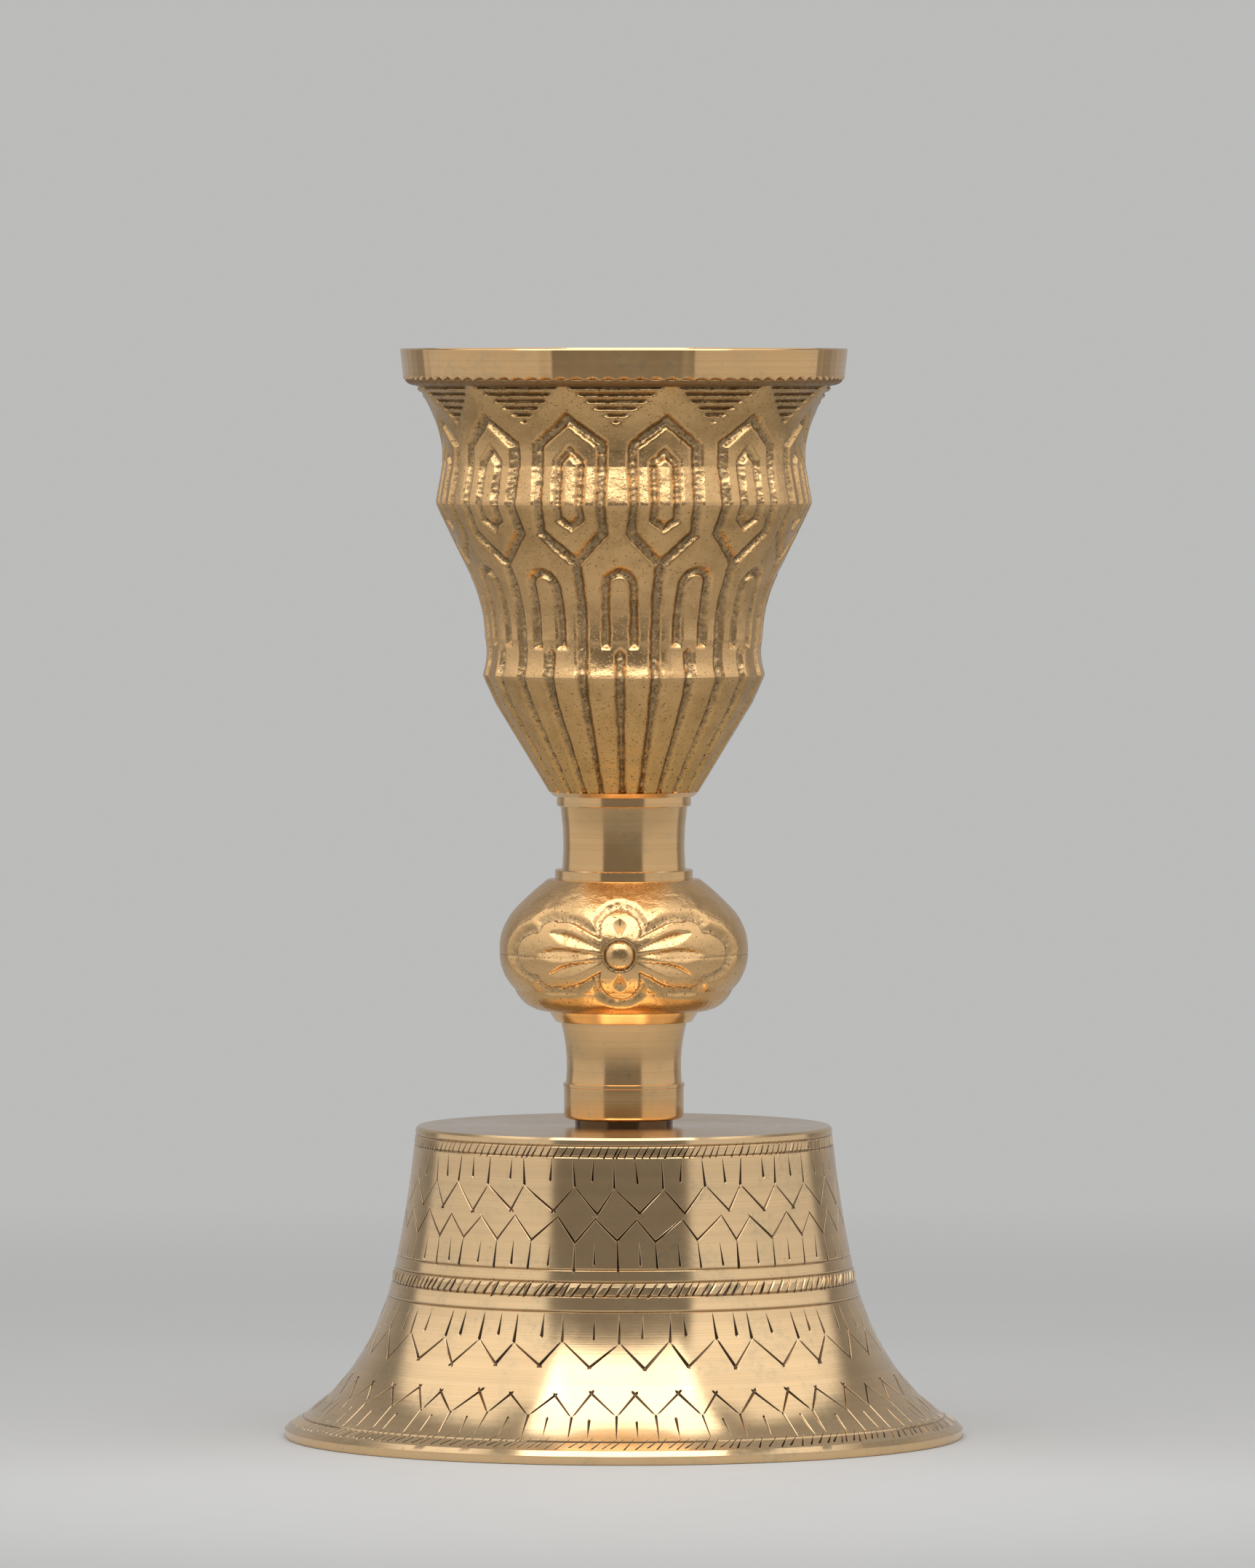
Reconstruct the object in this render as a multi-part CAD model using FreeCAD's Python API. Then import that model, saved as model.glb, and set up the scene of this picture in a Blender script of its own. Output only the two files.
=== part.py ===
import FreeCAD, Part
import math
import os

# Butter lamp of cast and turned brass. A deep petalled bowl screws onto a rod that runs up through a
# stem of two turned necks and a cast knop, from a nut under the top of a bell-shaped base.
# Millimetres, +Z up. The origin is on the table under the middle of the base, and one of the knop's
# two flowers faces -Y.

Vector = FreeCAD.Vector
UP = Vector(0, 0, 1)
ORIGIN = Vector(0, 0, 0)
FULL_TURN = 360

# Base: a turned bell, open below
base_height = 34.3
base_top_radius = 22.95
base_top_chamfer = 0.25
base_bend_radius = 25.4
base_bend_height = 18.2
base_side_hollow = 0.25
base_flare_hollow = 2.1
base_brim_radius = 37.45
base_brim_bevel = 0.55
base_brim_height = 0.9
base_foot_bevel = 0.15
base_foot_width = 1.7
base_top_thickness = 2.6
base_wall = 1.9
base_bore_corner = 2.0

# Lower neck: a turned sleeve with a thicker ferrule at its foot, which stands on a narrow spigot
spigot_radius = 6.0
spigot_height = 1.2
ferrule_radius = 6.6
ferrule_height = 3.1
ferrule_round = 0.5
ferrule_ridge = 0.15
ferrule_ridge_height = 0.5
lower_neck_height = 6.7
lower_neck_foot_radius = 6.4
lower_neck_top_radius = 6.95
lower_neck_hollow = 0.31

# Knop: a cast bulb between two turned collars
knop_lower_collar_height = 1.2
knop_lower_collar_radius = 7.6
knop_lower_collar_spread = 0.65
knop_body_height = 14.5
knop_radius = 13.7
knop_foot_radius = 8.7
knop_head_radius = 8.4
knop_equator_share = 0.462
knop_belly_shares = (0.66, 0.36)
knop_belly_swells = (0.35, 0.45)
knop_shoulder_shares = (0.717, 0.55)
knop_shoulder_swell = 0.42
knop_upper_collar_height = 1.1
knop_upper_collar_radius = 7.6

# Cast flower on the knop's front and back, round a boss at the equator: a round petal above and below,
# a lobed wing to each side, leaf-shaped hollows in them, and a channel round them all. Places are
# sideways and up from the boss.
flower_depth = 0.4
flower_channel_width = 0.85
boss_radius = 1.7
boss_height = 0.5
flower_petal_radius = 2.15
flower_petal_rise = 2.65
wing_root_rise = 0.5
wing_lobe_crest = (6.5, 3.65)
wing_lobe_notch = (9.1, 2.2)
wing_swells = (0.55, 0.7, 2.25)
petal_leaf_reach = (1.5, 3.9)
petal_leaf_swell = 0.55
wing_leaf_reach = (2.1, 9.3)
wing_leaf_swell = 0.7
outer_leaf_reach = (2.1, 7.9)
outer_leaf_slope = 17

# Upper neck: a turned sleeve, slightly waisted
upper_neck_height = 7.0
upper_neck_foot_radius = 6.8
upper_neck_top_radius = 7.0
upper_neck_hollow = 0.21

# Bowl: cast outside in three tiers with crisp ridges between them, turned inside, at its rim and foot
bowl_collar_radius = 7.4
bowl_collar_height = 1.1
bowl_bottom_radius = 7.75
bowl_bottom_bevel = 0.5
taper_height = 13.4
taper_shoulder_drop = 3.1
taper_shoulder_radius = 14.2
lower_ridge_radius = 15.5
middle_tier_height = 18.9
lower_waist_radius = 15.3
lower_waist_share = 0.217
middle_bend_radius = 17.1
middle_bend_share = 0.598
middle_hollow = 0.42
upper_ridge_radius = 20.75
upper_tier_height = 13.7
upper_waist_radius = 20.0
upper_waist_share = 0.394
flare_hollow = 0.97
rim_radius = 24.7
rim_band_height = 3.3
rim_band_spread = 0.4
rim_band_step = 0.2
lip_width = 0.8
lip_depth = 2.4
bowl_wall = 1.8
throat_swell = 0.9
floor_shoulder_rise = 6.0
floor_hollow = 1.9
foot_web = 1.5

# Cast relief of the bowl: one petal and one arch to each sector, drawn by channels of even depth
# between plain lands. Heights are counted from the upper ridge for the petals and the fields above
# them, and from the lower ridge for the arches and flutes.
sector_count = 12
channel_depth = 0.45
petal_half_width = 4.15
petal_tip_rise = 10.3
petal_shoulder_rise = 6.9
petal_foot_drop = 3.4
petal_toe_drop = 7.5
petal_channel_width = 1.1
heart_half_width = 1.75
heart_tip_rise = 6.8
heart_shoulder_rise = 4.9
heart_foot_drop = 1.9
heart_toe_drop = 3.3
heart_channel_width = 1.1
field_valley_rise = 9.6
field_top_gap = 0.25
field_half_width = 6.0
arch_half_width = 2.25
arch_rise = 12.4
arch_leg_rise = 3.1
arch_channel_width = 1.3
slot_half_width = 0.7
slot_tip_rise = 3.6
slot_tip_height = 0.8
flute_foot_half_width = 0.35

# Wick socket: the hole in the bowl's floor that holds the wick's stick upright
wick_socket_radius = 1.25
wick_socket_depth = 4.0

# Rod, nut and washer that draw the stem together
rod_radius = 3.0
rod_engagement = 6.9
rod_end_gap = 1.0
rod_tail = 1.5
rod_chamfer = 0.5
thread_clearance = 0.05
sleeve_clearance = 0.3
washer_radius = 6.2
washer_thickness = 1.6
nut_across_flats = 10.0
nut_height = 5.0
nut_bevel = 0.6
HEX_SIDES = 6

# Levels of the seats, from the table up
lower_neck_foot = base_height
ferrule_foot = lower_neck_foot + spigot_height
ferrule_top = ferrule_foot + ferrule_height
knop_foot = ferrule_top + ferrule_ridge_height + lower_neck_height
bulb_foot = knop_foot + knop_lower_collar_height
bulb_head = bulb_foot + knop_body_height
equator = bulb_foot + knop_body_height * knop_equator_share
upper_neck_foot = bulb_head + knop_upper_collar_height
bowl_foot = upper_neck_foot + upper_neck_height
bowl_bottom = bowl_foot + bowl_collar_height
lower_ridge_level = bowl_bottom + taper_height
upper_ridge_level = lower_ridge_level + middle_tier_height
flare_level = upper_ridge_level + upper_tier_height
lip_level = flare_level + rim_band_height
washer_top = base_height - base_top_thickness
nut_top = washer_top - washer_thickness
rod_foot = nut_top - nut_height - rod_tail
rod_head = bowl_foot + rod_engagement
tapped_hole_top = rod_head + rod_end_gap
floor_level = tapped_hole_top + foot_web + wick_socket_depth
sleeve_bore = rod_radius + sleeve_clearance
threaded_bore = rod_radius + thread_clearance
base_foot_radius = base_brim_radius - base_foot_bevel
rim_band_radius = rim_radius - rim_band_spread
flare_radius = rim_band_radius - rim_band_step


class Outline:
    """Half of a round piece's section, drawn anticlockwise as radius and height, then spun about Z."""

    def __init__(self, radius, height):
        self.start = Vector(radius, 0, height)
        self.end = self.start
        self.edges = []

    def line(self, radius, height):
        point = Vector(radius, 0, height)
        self.edges.append(Part.LineSegment(self.end, point).toShape())
        self.end = point
        return self

    def arc(self, radius, height, swell):
        """An arc to the point that stands out from the metal by swell at its middle, or is hollow if negative."""
        point = Vector(radius, 0, height)
        way = point - self.end
        outward = Vector(way.z, 0, -way.x).normalize()
        middle = (self.end + point) / 2 + outward * swell
        self.edges.append(Part.Arc(self.end, middle, point).toShape())
        self.end = point
        return self

    def face(self):
        """The flat figure inside the outline, closed by a line where it doesn't end on its start."""
        if self.end != self.start:
            self.line(self.start.x, self.start.z)
        return Part.Face(Part.Wire(self.edges))

    def spun(self):
        return self.face().revolve(ORIGIN, UP, FULL_TURN)


def between(low, high, share):
    return low + (high - low) * share


def polygon(points):
    outline = Outline(*points[0])
    for sideways, height in points[1:]:
        outline.line(sideways, height)
    return outline.face()


def mirrored(points):
    """The points, then the same points across the figure's centre line in the other order."""
    return points + [(-sideways, height) for sideways, height in reversed(points) if sideways]


def prism_through(figure, reach):
    """A flat figure carried from the axis out through the front of a wall."""
    return figure.extrude(Vector(0, -reach, 0))


def base():
    """The bell: a flat top with a hole for the rod, a side that flares to a brim, and an even wall."""
    outline = Outline(base_bend_radius - base_wall, base_bend_height)
    outline.arc(base_foot_radius - base_foot_width, 0, base_flare_hollow)
    outline.line(base_foot_radius, 0)
    outline.line(base_brim_radius, base_brim_height)
    outline.line(base_brim_radius - base_brim_bevel, base_brim_height + base_brim_bevel)
    outline.arc(base_bend_radius, base_bend_height, -base_flare_hollow)
    outline.arc(base_top_radius, base_height - base_top_chamfer, -base_side_hollow)
    outline.line(base_top_radius - base_top_chamfer, base_height)
    outline.line(sleeve_bore, base_height)
    outline.line(sleeve_bore, washer_top)
    outline.line(base_top_radius - base_wall - base_bore_corner, washer_top)
    outline.line(base_top_radius - base_wall, washer_top - base_bore_corner)
    return outline.spun()


def lower_neck():
    """The sleeve under the knop, with its ferrule and the spigot that stands on the base."""
    outline = Outline(sleeve_bore, lower_neck_foot)
    outline.line(spigot_radius, lower_neck_foot)
    outline.line(spigot_radius, ferrule_foot)
    outline.line(ferrule_radius - ferrule_round, ferrule_foot)
    outline.line(ferrule_radius, ferrule_foot + ferrule_round)
    outline.line(ferrule_radius, ferrule_top)
    outline.line(ferrule_radius + ferrule_ridge, ferrule_top)
    outline.line(ferrule_radius + ferrule_ridge, ferrule_top + ferrule_ridge_height - ferrule_ridge)
    outline.line(lower_neck_foot_radius, ferrule_top + ferrule_ridge_height)
    outline.arc(lower_neck_top_radius, knop_foot, -lower_neck_hollow)
    outline.line(sleeve_bore, knop_foot)
    return outline.spun()


def draw_bulb(outline, inset=0):
    """The knop's cast outside, widest a little below its middle, or a skin inset in it."""
    outline.line(knop_foot_radius - inset, bulb_foot)
    outline.arc(
        between(knop_foot_radius, knop_radius, knop_belly_shares[0]) - inset,
        between(bulb_foot, equator, knop_belly_shares[1]),
        knop_belly_swells[0],
    )
    outline.arc(knop_radius - inset, equator, knop_belly_swells[1])
    outline.arc(
        between(knop_head_radius, knop_radius, knop_shoulder_shares[0]) - inset,
        between(equator, bulb_head, knop_shoulder_shares[1]),
        knop_shoulder_swell,
    )
    outline.line(knop_head_radius - inset, bulb_head)


def wing():
    """The right wing: two flanks that swell from the boss, and three round lobes at the end."""
    crest_reach, crest_rise = wing_lobe_crest
    notch_reach, notch_rise = wing_lobe_notch
    flank_swell, crest_swell, side_swell = wing_swells
    outline = Outline(0, equator - wing_root_rise)
    outline.arc(crest_reach, equator - crest_rise, flank_swell)
    outline.arc(notch_reach, equator - notch_rise, crest_swell)
    outline.arc(notch_reach, equator + notch_rise, side_swell)
    outline.arc(crest_reach, equator + crest_rise, crest_swell)
    outline.arc(0, equator + wing_root_rise, flank_swell)
    return outline.face()


def leaf(reach, swell, turn):
    """A pointed leaf that lies along a ray from the boss, turned up from the right by the angle."""
    root, tip = reach
    outline = Outline(root, equator)
    outline.arc(tip, equator, swell)
    outline.arc(root, equator, swell)
    figure = outline.face()
    figure.rotate(Vector(0, 0, equator), Vector(0, -1, 0), turn)
    return figure


def flower_relief():
    """The metal that the flower leaves out on both faces: its edge channel and the leaf-shaped hollows."""
    quarter, half = FULL_TURN / 4, FULL_TURN / 2
    petal = Outline(flower_petal_radius, equator + flower_petal_rise)
    petal.arc(-flower_petal_radius, equator + flower_petal_rise, flower_petal_radius)
    petal.arc(flower_petal_radius, equator + flower_petal_rise, flower_petal_radius)
    figures = [petal.face(), wing()]
    leaves = [
        leaf(petal_leaf_reach, petal_leaf_swell, quarter),
        leaf(wing_leaf_reach, wing_leaf_swell, 0),
        leaf(outer_leaf_reach, wing_leaf_swell, outer_leaf_slope),
        leaf(outer_leaf_reach, wing_leaf_swell, -outer_leaf_slope),
    ]
    edges = [figure.makeOffset2D(flower_channel_width) for figure in figures]

    def prisms(right_and_upper):
        turned = [figure.copy() for figure in right_and_upper]
        for figure in turned:
            figure.rotate(Vector(0, 0, equator), Vector(0, 1, 0), half)
        solids = [prism_through(figure, knop_radius + boss_height) for figure in right_and_upper + turned]
        return solids[0].fuse(solids[1:])

    skin = Outline(0, bulb_foot)
    draw_bulb(skin, flower_depth)
    skin.line(0, bulb_head)
    front = prisms(edges).cut(prisms(figures)).fuse(prisms(leaves)).cut(skin.spun())
    back = front.copy()
    back.rotate(ORIGIN, UP, half)
    return [front, back]


def boss(side):
    """The low dome in the middle of a flower, as a sphere sunk in the bulb; the front has side -1."""
    dome_radius = (boss_radius**2 + boss_height**2) / boss_height / 2
    return Part.makeSphere(dome_radius, Vector(0, side * (knop_radius + boss_height - dome_radius), equator))


def knop():
    """The bulb on the stem with its two flowers, and a turned collar at each end."""
    outline = Outline(sleeve_bore, knop_foot)
    outline.line(knop_lower_collar_radius, knop_foot)
    outline.line(knop_lower_collar_radius + knop_lower_collar_spread, bulb_foot)
    draw_bulb(outline)
    outline.line(knop_upper_collar_radius, bulb_head)
    outline.line(knop_upper_collar_radius, upper_neck_foot)
    outline.line(sleeve_bore, upper_neck_foot)
    return outline.spun().cut(flower_relief()).fuse([boss(-1), boss(1)])


def upper_neck():
    outline = Outline(sleeve_bore, upper_neck_foot)
    outline.line(upper_neck_foot_radius, upper_neck_foot)
    outline.arc(upper_neck_top_radius, bowl_foot, -upper_neck_hollow)
    outline.line(sleeve_bore, bowl_foot)
    return outline.spun()


def draw_cast_tiers(outline, inset=0):
    """The bowl's cast outside from its foot up to the flare under the rim, or a skin inset in it."""
    taper_foot = bowl_bottom + bowl_bottom_bevel
    lower_waist = between(lower_ridge_level, upper_ridge_level, lower_waist_share)
    middle_bend = between(lower_ridge_level, upper_ridge_level, middle_bend_share)
    upper_waist = between(upper_ridge_level, flare_level, upper_waist_share)
    outline.line(bowl_bottom_radius + bowl_bottom_bevel - inset, taper_foot)
    outline.line(taper_shoulder_radius - inset, lower_ridge_level - taper_shoulder_drop)
    outline.line(lower_ridge_radius - inset, lower_ridge_level)
    outline.line(lower_waist_radius - inset, lower_waist)
    outline.arc(middle_bend_radius - inset, middle_bend, -middle_hollow)
    outline.line(upper_ridge_radius - inset, upper_ridge_level)
    outline.line(upper_waist_radius - inset, upper_waist)
    outline.arc(flare_radius - inset, flare_level, -flare_hollow)


def channel(figure, width):
    """The strip of an even width inside the figure's edge."""
    return figure.cut(figure.makeOffset2D(-width, 2))


def flute(tip_level):
    """A groove's figure, from a pointed tip over the lower ridge and down the taper, where it narrows."""
    return polygon(
        mirrored(
            [
                (0, tip_level),
                (slot_half_width, tip_level - slot_tip_height),
                (slot_half_width, lower_ridge_level),
                (flute_foot_half_width, bowl_bottom + bowl_bottom_bevel),
            ]
        )
    )


def petal_figures():
    """A petal's edge channel, the channel round its heart, and the groove that runs down from its toe."""
    edge = mirrored(
        [
            (0, upper_ridge_level + petal_tip_rise),
            (petal_half_width, upper_ridge_level + petal_shoulder_rise),
            (petal_half_width, upper_ridge_level - petal_foot_drop),
            (0, upper_ridge_level - petal_toe_drop),
        ]
    )
    heart = mirrored(
        [
            (0, upper_ridge_level + heart_tip_rise),
            (heart_half_width, upper_ridge_level + heart_shoulder_rise),
            (heart_half_width, upper_ridge_level - heart_foot_drop),
            (0, upper_ridge_level - heart_toe_drop),
        ]
    )
    toe = upper_ridge_level - petal_toe_drop + petal_channel_width
    return [
        channel(polygon(edge), petal_channel_width),
        channel(polygon(heart), heart_channel_width),
        flute(toe),
    ]


def arch(half_width):
    """A round-headed figure on two straight legs."""
    leg_foot = lower_ridge_level + arch_leg_rise
    spring = lower_ridge_level + arch_rise - arch_half_width
    outline = Outline(half_width, leg_foot)
    outline.line(half_width, spring)
    outline.arc(-half_width, spring, half_width)
    outline.line(-half_width, leg_foot)
    return outline.face()


def arch_figures():
    """The round-headed channel between two petals, the groove below it, and the field above it."""
    field_top = flare_level - field_top_gap
    field = mirrored([(0, upper_ridge_level + field_valley_rise), (field_half_width, field_top)])
    return [
        arch(arch_half_width).cut(arch(arch_half_width - arch_channel_width)),
        flute(lower_ridge_level + slot_tip_rise),
        polygon(field),
    ]


def bowl_relief():
    """The metal that the relief leaves out: petal and arch figures all round, down to an inset skin."""
    skin = Outline(0, bowl_bottom)
    skin.line(bowl_bottom_radius - channel_depth, bowl_bottom)
    draw_cast_tiers(skin, channel_depth)
    skin.line(0, flare_level)
    core = skin.spun()
    sector = FULL_TURN / sector_count
    cutters = []
    for figures, offset in ((petal_figures(), sector / 2), (arch_figures(), 0)):
        prisms = [prism_through(figure, rim_radius) for figure in figures]
        cutter = prisms[0].fuse(prisms[1:]).cut(core)
        for turn in range(sector_count):
            copy = cutter.copy()
            copy.rotate(ORIGIN, UP, turn * sector + offset)
            cutters.append(copy)
    return cutters


def bowl():
    """The bowl with its tapped foot, three cast tiers, turned rim, smooth inside and wick socket."""
    upper_waist = between(upper_ridge_level, flare_level, upper_waist_share)
    middle_bend = between(lower_ridge_level, upper_ridge_level, middle_bend_share)
    outline = Outline(threaded_bore, bowl_foot)
    outline.line(bowl_collar_radius, bowl_foot)
    outline.line(bowl_collar_radius, bowl_bottom)
    outline.line(bowl_bottom_radius, bowl_bottom)
    draw_cast_tiers(outline)
    outline.line(rim_band_radius, flare_level + rim_band_step)
    outline.line(rim_radius, lip_level)
    outline.line(rim_radius - lip_width, lip_level)
    outline.line(rim_band_radius - lip_width, lip_level - lip_depth)
    outline.arc(upper_waist_radius - bowl_wall, upper_waist, throat_swell)
    outline.line(middle_bend_radius - bowl_wall, middle_bend)
    outline.line(lower_waist_radius - bowl_wall, floor_level + floor_shoulder_rise)
    outline.arc(wick_socket_radius, floor_level, -floor_hollow)
    outline.line(wick_socket_radius, floor_level - wick_socket_depth)
    outline.line(0, floor_level - wick_socket_depth)
    outline.line(0, tapped_hole_top)
    outline.line(threaded_bore, tapped_hole_top)
    return outline.spun().cut(bowl_relief())


def tie_rod():
    """The threaded rod, from below the nut up into the bowl's foot, with bevelled ends."""
    outline = Outline(0, rod_foot)
    outline.line(rod_radius - rod_chamfer, rod_foot)
    outline.line(rod_radius, rod_foot + rod_chamfer)
    outline.line(rod_radius, rod_head - rod_chamfer)
    outline.line(rod_radius - rod_chamfer, rod_head)
    outline.line(0, rod_head)
    return outline.spun()


def washer():
    outline = Outline(sleeve_bore, nut_top)
    outline.line(washer_radius, nut_top)
    outline.line(washer_radius, washer_top)
    outline.line(sleeve_bore, washer_top)
    return outline.spun()


def nut():
    """A hexagon nut, its corners bevelled above and below by a turned blank."""
    corner_radius = nut_across_flats / 2 / math.cos(math.pi / HEX_SIDES)
    nut_foot = nut_top - nut_height
    corners = [
        Vector(corner_radius * math.cos(turn), corner_radius * math.sin(turn), nut_foot)
        for turn in (2 * math.pi * side / HEX_SIDES for side in range(HEX_SIDES))
    ]
    prism = Part.Face(Part.makePolygon(corners + corners[:1])).extrude(UP * nut_height)
    blank = Outline(threaded_bore, nut_foot)
    blank.line(corner_radius - nut_bevel, nut_foot)
    blank.line(corner_radius, nut_foot + nut_bevel)
    blank.line(corner_radius, nut_top - nut_bevel)
    blank.line(corner_radius - nut_bevel, nut_top)
    blank.line(threaded_bore, nut_top)
    return blank.spun().common(prism)


PIECES = {
    "base": base,
    "lower_neck": lower_neck,
    "knop": knop,
    "upper_neck": upper_neck,
    "bowl": bowl,
    "tie_rod": tie_rod,
    "washer": washer,
    "nut": nut,
}


def main():
    os.makedirs("parts", exist_ok=True)
    for name, make in PIECES.items():
        shape = make()
        shape.exportStep(os.path.join("parts", name + ".step"))
        print(f"{name}: {len(shape.Solids)} solid, {shape.Volume:.1f} mm3, {len(shape.Faces)} faces")


main()
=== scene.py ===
import math
import random

import bmesh
import bpy
import numpy as np
from mathutils import Matrix, Vector
from mathutils.geometry import delaunay_2d_cdt


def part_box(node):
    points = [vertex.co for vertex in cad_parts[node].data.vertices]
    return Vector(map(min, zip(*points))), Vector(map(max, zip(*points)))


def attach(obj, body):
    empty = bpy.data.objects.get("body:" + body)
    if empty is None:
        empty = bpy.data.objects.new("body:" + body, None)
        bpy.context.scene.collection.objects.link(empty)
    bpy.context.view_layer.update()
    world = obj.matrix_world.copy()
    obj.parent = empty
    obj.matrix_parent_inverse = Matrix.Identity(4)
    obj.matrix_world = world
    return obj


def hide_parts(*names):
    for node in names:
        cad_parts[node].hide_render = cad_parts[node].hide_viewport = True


# Butter lamp of cast and turned brass, dressed over its CAD frame. +Z is up and the lamp faces -Y.
# Lengths below are millimetres, and MM turns them into Blender's metres when a mesh is finished.

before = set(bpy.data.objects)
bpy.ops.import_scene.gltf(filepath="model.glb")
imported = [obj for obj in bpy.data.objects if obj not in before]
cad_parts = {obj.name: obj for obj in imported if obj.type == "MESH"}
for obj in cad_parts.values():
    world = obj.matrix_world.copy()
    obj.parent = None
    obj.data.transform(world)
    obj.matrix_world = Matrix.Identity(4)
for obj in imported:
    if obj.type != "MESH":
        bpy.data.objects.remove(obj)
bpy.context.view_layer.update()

bl_info = {
    "name": "Butter lamp",
    "version": (1, 0, 0),
    "blender": (4, 5, 0),
    "location": "3D View > Sidebar > Lamp",
    "description": "Builds a cast and turned brass butter lamp with its relief and its engraving",
    "category": "Add Mesh",
}

MM = 0.001
TURN = math.tau


def levels(node):
    """The lowest and highest height of a CAD node."""
    low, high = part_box(node)
    return low.z / MM, high.z / MM


def reach(node):
    """The greatest radius of a round CAD node."""
    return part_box(node)[1].x / MM


# Levels and widths that the frame gives
_, base_top = levels("base")
neck_foot, knop_foot = levels("lower_neck")
_, knop_top = levels("knop")
bowl_foot, lip_level = levels("bowl")
rod_foot, rod_head = levels("tie_rod")
_, washer_top = levels("washer")
base_brim_radius = reach("base")
knop_radius = reach("knop")
rim_radius = reach("bowl")
rod_radius = reach("tie_rod")

# Base: its outline and the wall inside it
base_top_radius = 22.95
base_top_chamfer = 0.25
base_bend_radius = 25.4
base_bend_height = 18.2
base_side_hollow = 0.25
base_flare_hollow = 2.1
base_knee_radius = 30.8
base_knee_height = 6.5
base_knee_hollows = (0.42, 0.74)
base_brim_bevel = 0.55
base_brim_height = 0.9
base_foot_bevel = 0.15
base_foot_width = 1.7
base_wall = 1.9
base_bore_corner = 2.0
base_bore_hollow = 0.4

# Necks
spigot_radius = 5.4
spigot_height = 0.75
ferrule_radius = 6.6
ferrule_top_rise = 4.3
ferrule_round = 0.5
ferrule_round_swell = 0.12
ferrule_step = 0.05
ferrule_ridge = 0.08
ferrule_ridge_height = 0.5
lower_neck_foot_radius = 6.4
lower_neck_top_radius = 6.95
lower_neck_hollow = 0.31
upper_neck_foot_radius = 6.8
upper_neck_top_radius = 7.0
upper_neck_hollow = 0.21
sleeve_bore = 3.3

# Knop
knop_collar_radius = 7.6
knop_collar_spread = 0.65
knop_collar_bevel = 0.12
knop_core_radius = 6.0
knop_lower_collar_height = 1.2
knop_upper_collar_height = 1.1
knop_foot_radius = 8.7
knop_head_radius = 8.4
knop_equator_share = 0.462
knop_belly_shares = (0.66, 0.36)
knop_belly_swells = (0.6, 0.5)
knop_shoulder_shares = (0.717, 0.55)
knop_shoulder_swells = (0.42, 0.12)
bulb_foot = knop_foot + knop_lower_collar_height
bulb_head = knop_top - knop_upper_collar_height
equator = bulb_foot + (bulb_head - bulb_foot) * knop_equator_share

# Flower on the knop, sideways and up from its boss
boss_radius = 1.6
boss_height = 0.55
flower_petal_radius = 2.15
flower_petal_rise = 2.65
wing_root_radius = 0.45
wing_body_reach = 6.3
wing_body_radius = 3.6
wing_corner_reach = 7.4
wing_corner_rise = 2.25
wing_corner_radius = 1.4
wing_end_reach = 9.15
wing_end_radius = 2.28
petal_leaf_reach = (1.9, 4.0)
wing_leaf_reach = (1.8, 9.3)
outer_leaf_reach = (1.9, 8.2)
outer_leaf_slope = math.radians(17)
leaf_half_width = 0.8
leaf_depth = 0.6
leaf_lean = 0.55
petal_leaf_share = 0.8
flower_reach = 6.4
flower_channel_walls = (0.22, 0.65)
flower_roughness = 0.06
flower_edge_width = 0.18
moat_width = 0.25
moat_depth = 0.25
moat_wall = 0.2
parting_drop = 0.35
parting_half_width = 0.08
parting_depth = 0.07
parting_start = 4.5

# Bowl: the outline of its three cast tiers, from the foot up
bowl_collar_radius = 7.4
bowl_collar_height = 1.1
bowl_bottom_radius = 7.75
bowl_bottom_bevel = 0.5
taper_height = 13.4
taper_shoulder_drop = 3.1
taper_shoulder_radius = 14.2
lower_ridge_radius = 15.6
middle_tier_height = 18.9
lower_waist_radius = 15.3
lower_waist_share = 0.217
lower_fillet_hollow = 0.3
middle_bend_radius = 17.1
middle_bend_share = 0.598
middle_hollow = 0.42
upper_ridge_radius = 20.75
upper_tier_height = 13.7
upper_waist_radius = 20.0
upper_waist_share = 0.394
upper_waist_span = (0.31, 0.43)
flare_hollow = 0.85
rim_band_spread = 0.4
rim_band_step = 0.2
lip_width = 0.8
lip_depth = 2.4
lip_draft = 0.06
lip_bevel_width = 0.08
lip_bevel_height = 0.1
bowl_collar_bevel = 0.1
bowl_wall = 1.8
skin_thickness = 1.0
core_inset = 0.9
rim_band_bite = 0.3
throat_swell = 0.9
floor_shoulder_rise = 6.0
floor_hollow = 1.9
foot_web = 1.5
wick_socket_radius = 1.25
wick_socket_depth = 4.0
soot_share = 0.3
rod_end_gap = 1.0
thread_clearance = 0.05
bowl_bottom = bowl_foot + bowl_collar_height
lower_ridge_level = bowl_bottom + taper_height
upper_ridge_level = lower_ridge_level + middle_tier_height
flare_level = upper_ridge_level + upper_tier_height
rim_band_radius = rim_radius - rim_band_spread
flare_radius = rim_band_radius - rim_band_step
tapped_hole_top = rod_head + rod_end_gap
floor_level = tapped_hole_top + foot_web + wick_socket_depth

# Relief of the bowl, counted up and down from its two ridges, one petal and one arch to a sector
sector_count = 12
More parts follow.
